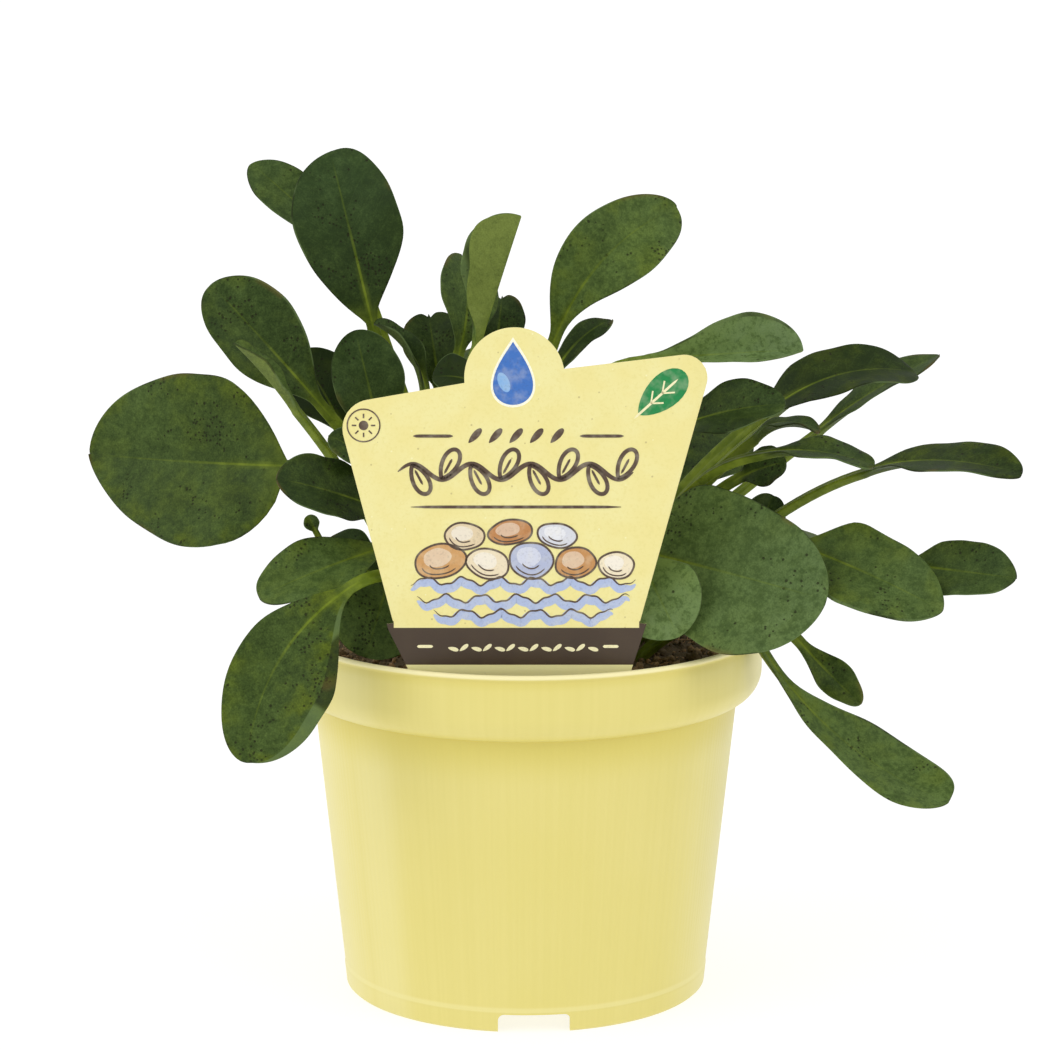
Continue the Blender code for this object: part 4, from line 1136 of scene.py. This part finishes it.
def stalk_handles(shape):
    """The four Bezier points of the stalk, which leaves the peat and runs on smoothly into the midrib."""
    root, foot = np.array([*shape["root"], ROOT_LEVEL], float), np.array(shape["foot"], float)
    ends = blade_spine(shape, np.array([0.0, 0.001]))
    into_blade = unit(ends[1] - ends[0])
    out_of_soil = unit(unit(foot - root) + np.array([0, 0, shape["rise"]]))
    reach = shape["reach"] * np.linalg.norm(foot - root)
    return root, root + out_of_soil * reach, foot - into_blade * reach, foot


def bezier(handles, q):
    """Points of a cubic Bezier at the parameters q."""
    q = np.asarray(q, float)[:, None]
    a, b, c, d = handles
    return (1 - q) ** 3 * a + 3 * (1 - q) ** 2 * q * b + 3 * (1 - q) * q**2 * c + q**3 * d


def leaf_frames(shape, q, s):
    """Centre, direction, upper normal, side and s of each station, from the buried root to the tip.

    s runs from -1.2 at the buried end and -1 at the peat to 0 at the blade's foot and 1 at its tip. The normal is the
    blade's own, and down the stalk each station's is the one above it, kept square to the stalk.
    """
    handles, small = stalk_handles(shape), 0.001
    out_of_soil = unit(handles[1] - handles[0])
    centres = np.vstack([handles[0] - out_of_soil * ROOT_DEPTH, bezier(handles, q), blade_spine(shape, s)])
    along_stalk = unit(bezier(handles, q + small) - bezier(handles, np.maximum(q - small, 0)))
    along_blade = unit(blade_spine(shape, s + small) - blade_spine(shape, s - small))
    along = np.vstack([out_of_soil, along_stalk, along_blade])
    normal = leaf_axis(shape)[1]
    normals = unit(normal - (along @ normal)[:, None] * along)
    for k in range(len(q), -1, -1):
        normals[k] = unit(normals[k + 1] - (normals[k + 1] @ along[k]) * along[k])
    return centres, along, normals, np.cross(along, normals), np.concatenate([[-1.2], q - 1, s])


first_stalk = np.diff(bezier(stalk_handles(LEAVES[0]), np.linspace(0, 1, 40)), axis=0)
print("first leaf's stalk is", round(float(np.linalg.norm(first_stalk, axis=1).sum()), 1), "mm long")

# %% [markdown]
# ## The leaf's section
#
# Round each ring an angle runs once about the section: its cosine is the share u of the half-width, and its sine says
# upper or lower face. The height is half the thickness times a small power of that sine, which is flat across the
# face and falls off sharply at the edge, so that the leaf is fleshy with a rounded rim. A shallow channel runs down
# the middle of the upper face, and slow swells and fine ripples keep the blade from looking stamped.

# %% Rings round the section
RING, STALK_ROWS, BLADE_ROWS = 60, 24, 50
CHANNEL_DEPTH, CHANNEL_SPREAD, TIP_ROUNDING = 0.42, 0.85, 0.45
VEIN_SLANT, VEIN_CURVE, VEIN_GAP, VEIN_GAP_GROWTH = 0.85, 0.012, 3.2, 0.08


def blade_share(shape, s, u):
    """Half-width at s as a share of the widest: a power of a sine from the foot, an ellipse to the tip."""
    s = np.clip(s, 0, 1)[:, None]
    half = np.sign(u)
    widest = shape["widest"] + shape["lean"] * half
    lower = np.sin(0.5 * np.pi * np.clip(s / widest, 0, 1)) ** (shape["taper"] * (1 + shape["full"] * half))
    upper = 1 - np.clip((s - widest) / (1 - widest), 0, 1) ** 2
    upper = upper ** (shape["blunt"] * (1 - shape["full"] * half))
    return np.where(s < widest, lower, upper)


def leaf_widths(shape, s, u):
    """Half-width of each point's own half, and how far the point is across, in millimetres."""
    on_blade, on_stalk = np.clip(s, 0, 1)[:, None], np.clip(-s, 0, 1)[:, None]
    phase = float(shape["root"][0] * 1.7 + shape["root"][1])
    uneven = 1 + 0.014 * np.sin(9 * s[:, None] + phase + u) + 0.008 * np.sin(21 * s[:, None] - phase + 2 * np.sign(u))
    swelling = shape["stalk"] * (1 + STALK_SWELLING * on_stalk)
    blade_half = shape["width"] / 2 * blade_share(shape, s, u) * uneven
    half = np.sqrt(blade_half**2 + (STALK_WIDTH / 2 * swelling * (1 - on_blade)) ** 2)
    return half, half * u * (1 + shape["skew"] * np.sign(u) * (s > 0)[:, None])


def leaf_lift(shape, s, u, half):
    """Height of the upper face over the midrib: folded halves, waves along the edges, and slow swells."""
    on_blade = np.clip(s, 0, 1)[:, None]
    fold = np.radians(shape["fold"]) * np.clip(4 * on_blade, 0, 1)
    keel = np.sqrt(u**2 + KEEL_BLUNTNESS**2) - KEEL_BLUNTNESS
    keel = keel / (math.sqrt(1 + KEEL_BLUNTNESS**2) - KEEL_BLUNTNESS)
    phase = float(shape["root"][0] + shape["root"][1])
    left_ripple = np.sin(LEFT_WAVES * np.pi * s[:, None] + phase)
    right_ripple = np.sin(RIGHT_WAVES * np.pi * s[:, None] + 2 * phase)
    start = np.clip(3 * on_blade, 0, 1)
    waves = shape["wave"] * u**2 * np.where(u < 0, left_ripple, right_ripple) * start
    swells = np.sin(11 * s[:, None] + 2.6 * u + phase) * np.cos(5.5 * u - 6 * s[:, None] + 2 * phase)
    fine = np.sin(29 * s[:, None] + 4 * u - phase) * u**2
    extra = (0.016 * np.minimum(half, 14) * swells * (1 - np.exp(-((2.2 * u) ** 2))) + 0.09 * fine) * start
    return half * np.sin(fold) * keel + waves + extra * min(1.0, shape["width"] / 12), fold


def leaf_surface(shape):
    """Grid of points round and along a leaf, its end point at the tip, and what its finish reads at each point."""
    q = np.linspace(0, 1, STALK_ROWS, endpoint=False)
    s = np.sin(np.linspace(0, math.pi / 2, BLADE_ROWS, endpoint=False))
    centres, along, normals, sides, s = leaf_frames(shape, q, s)
    turn = np.linspace(0, math.tau, RING, endpoint=False)
    turn = turn + 0.3 * np.sin(2 * turn)
    u, rise = np.cos(turn)[None, :], np.sin(turn)[None, :]
    on_blade, on_stalk = np.clip(s, 0, 1)[:, None], np.clip(-s, 0, 1)[:, None]
    half, across = leaf_widths(shape, s, u)
    lift, fold = leaf_lift(shape, s, u, half)
    middle = STALK_DEPTH * shape["stalk"] * (1 + STALK_SWELLING * on_stalk) * (1 - 0.75 * on_blade**0.7)
    near_rib = np.exp(-((across / (MIDRIB_SPREAD * STALK_WIDTH)) ** 2))
    thickness = BLADE_THICKNESS + (middle - BLADE_THICKNESS) * near_rib
    length = float(np.linalg.norm(np.subtract(shape["tip"], shape["foot"])))
    to_tip = (1 - on_blade) * length
    tip_round = np.sqrt(1 - (1 - np.clip(to_tip / TIP_ROUNDING, 0, 1)) ** 2)
    roundness = 0.45 + 0.4 * np.clip(1 - 3 * on_blade, 0, 1)
    face = np.sign(rise) * np.abs(rise) ** roundness
    hollow = np.exp(-((across / CHANNEL_SPREAD) ** 2)) * (rise > 0)
    channel = CHANNEL_DEPTH * np.clip(1 - 1.3 * on_blade, 0, 1) * hollow
    dent = shape["notch"] * np.exp(-((across / (DENT_SPREAD * shape["width"])) ** 2)) * on_blade**8
    height = lift - thickness / 2 + thickness / 2 * face * tip_round - channel
    flat = across * np.cos(fold)
    grid = centres[:, None] + sides[:, None] * flat[..., None] + normals[:, None] * height[..., None]
    grid = grid - along[:, None] * dent[..., None]
    every = np.ones_like(across)
    marks = np.stack([s[:, None] * every, across, half - np.abs(across)], -1)
    gap = VEIN_GAP + VEIN_GAP_GROWTH * shape["width"]
    slant = (on_blade * length - VEIN_SLANT * np.abs(across) - VEIN_CURVE * across**2) / gap
    upper = 0.5 + 0.5 * np.sign(rise) * np.abs(rise) ** 0.4
    return grid, marks, np.stack([slant, upper * every, 0 * every], -1)


def leaf_mesh(shape):
    """The leaf's rings, closed at the buried root and at the tip."""
    grid, marks, sheet = leaf_surface(shape)
    poles = grid[0].mean(0)[None], blade_spine(shape, np.array([1.0])) - leaf_axis(shape)[1] * BLADE_THICKNESS / 2
    mesh = make_mesh("blade_" + shape["name"], *closed_tube(grid, *poles), sharp=180)
    for name, values in (("leaf", marks), ("sheet", sheet)):
        ends = np.vstack([values[0].mean(0), values[-1].mean(0)])
        add_attribute(mesh, name, "FLOAT_VECTOR", np.vstack([values.reshape(-1, 3), ends]))
    add_attribute(mesh, "tone", "FLOAT_VECTOR", np.tile(shape["tone"], (len(mesh.vertices), 1)))
    return mesh


leaf_meshes = {shape["name"]: leaf_mesh(shape) for shape in LEAVES}
print("leaves:", sum(len(mesh.polygons) for mesh in leaf_meshes.values()), "faces")

# %% [markdown]
# ## The leaves' finish
#
# The leaves are a matt blue-green under a waxy bloom, with mottling at every size, clusters of tiny dark specks, a rim
# that is dark here and pale there, and olive patches that are strongest near the edges. A pale midrib narrows towards
# the tip, and stalks are brighter and yellower. Painting a picture for each leaf would take long, so one finish reads
# what the mesh carries: `leaf` holds s, the distance across and the distance from the edge, `sheet` holds the slant of
# the side veins and which face it is, and `tone` holds how light, yellow and bloomy this leaf is. How light a leaf is
# comes partly from its own colour and partly from painted shade: leaves that lie in shade deep in the plant are darker.

# %% Fleshy blue-green leaf
def leaf_marks(finish, place, fine):
    """Mask of the dark marks on the surface: ragged specks in clusters and a few single dots."""
    gathered = finish.noise(place, 10, detail=1.0)
    specks = finish.cells(place, 0.9)
    speck = (specks + 0.6 * (fine - 0.5)).ramp(0.42, 0.24)
    speck = speck * (finish.cell_lot(specks) + 3.2 * (gathered - 0.61)).ramp(0.7, 0.78)
    dots = finish.cells(place, 4.0)
    dot = dots.ramp(0.11, 0.06) * finish.cell_lot(dots).ramp(0.84, 0.88)
    return speck.most(dot)


def leaf_finish():
    """Greens from dark to light by the leaf's tone and four sizes of noise, under masks for each kind of mark."""
    finish = Finish("fleshy_leaf", IOR=1.42, Specular_IOR_Level=0.18)
    place = finish.place()
    s, across, edge = finish.attribute_parts("leaf")
    slant, face, _ = finish.attribute_parts("sheet")
    light, yellow, bloom = finish.attribute_parts("tone")
    away = abs(across)
    broad, cloud = finish.noise(place, 15), finish.noise(place, 3.6, detail=3.0)
    fine, grain = finish.noise(place, 1.1, detail=3.0, rough=0.6), finish.noise(place, 0.4, detail=1.0)
    speck = leaf_marks(finish, place, fine)
    # level begins with the leaf's tone, which is partly painted shade.
    level = light + 0.4 * (broad - 0.5) + 0.55 * (cloud - 0.5) + 0.6 * (fine - 0.5) + 0.6 * (grain - 0.5)
    green = finish.mix(level.ramp(-0.1, 1.9), srgb(27, 43, 6), srgb(122, 150, 72))
    patchy = (0.6 * finish.noise(place, 9) + 0.4 * cloud).ramp(0.44, 0.62)
    near_edge = 0.35 + 0.65 * edge.ramp(8.0, 0.5)
    olive = finish.mix(level.ramp(0.0, 1.0), srgb(56, 68, 4), srgb(100, 116, 22))
    green = finish.mix((yellow * (0.1 + 1.3 * near_edge * patchy)).least(0.85), green, olive)
    waxy = (bloom * (0.35 + 0.65 * s.ramp(0.2, 1.0)) * (0.5 + 1.2 * (cloud - 0.3))).least(0.8).most(0.0)
    wax = finish.mix(level.ramp(0.0, 1.6), srgb(62, 88, 46), srgb(114, 134, 98))
    green = finish.mix(waxy * 0.8, green, wax)
    vein = abs((slant + 1.6 * (broad - 0.5)).fraction() - 0.5).ramp(0.07, 0.0)
    vein = vein * s.ramp(0.05, 0.25) * edge.ramp(0.5, 4.0)
    green = finish.mix(vein * 0.06 * away.ramp(0.6, 1.6), green, srgb(90, 112, 52))
    mottle = (0.4 * cloud + 0.6 * fine).ramp(0.53, 0.38)
    green = finish.mix(mottle * 0.4 * level.ramp(0.1, 0.9), green, srgb(44, 66, 18))
    green = finish.mix(speck * (0.5 + 0.5 * fine) * s.ramp(0.0, 0.15), green, srgb(28, 28, 8))
    under = finish.mix(level.ramp(0.0, 1.6), srgb(58, 74, 26), srgb(132, 148, 70))
    skin = finish.mix(face.ramp(0.35, 0.6), under, green)
    stalk = finish.mix(cloud.ramp(0.3, 0.7), srgb(92, 110, 18), srgb(124, 140, 40))
    rib = (away.ramp(0.5, 0.15) * s.ramp(0.7, 0.1) * 0.9).most(away.ramp(1.6, 0.3) * s.ramp(0.4, 0.0) * 0.5)
    rib = rib.most(away.ramp(0.3, 0.1) * s.ramp(1.0, 0.7) * 0.25)
    skin = finish.mix(rib.most(s.ramp(0.16, -0.12) * 0.9), skin, stalk)
    rim = edge.ramp(0.4, 0.1) * s.ramp(0.02, 0.15)
    edging = finish.mix(finish.noise(place, 14, detail=1.0).ramp(0.47, 0.55), srgb(32, 38, 12), srgb(100, 120, 72))
    skin = finish.mix(rim * 0.6, skin, edging)
    worn = rim.most(edge.ramp(1.6, 0.2) * 0.7) * finish.noise(place, 11, detail=1.0).ramp(0.6, 0.7) * s.ramp(0.3, 0.6)
    skin = finish.mix(worn * 0.5, skin, srgb(104, 84, 40))
    skin = finish.mix(s.ramp(-0.85, -1.02) * 0.6, skin, srgb(88, 72, 42))
    rough = 0.52 + 0.16 * (cloud - 0.5) + 0.14 * (fine - 0.5) + 0.1 * bloom
    relief = 0.5 * cloud + 0.28 * fine - 0.5 * speck - 0.15 * vein - 0.25 * rib * face
    finish.feed(Base_Color=skin, Roughness=rough, Normal=finish.bump(relief, 0.2))
    return finish.material


leaf_skin = leaf_finish()
for shape in LEAVES:
    name = shape["name"]
    add_piece(name + "_leaf", leaf_meshes[name], leaf_skin, "leaf", "leaf_" + name)
print("leaves dressed:", len(leaf_meshes))
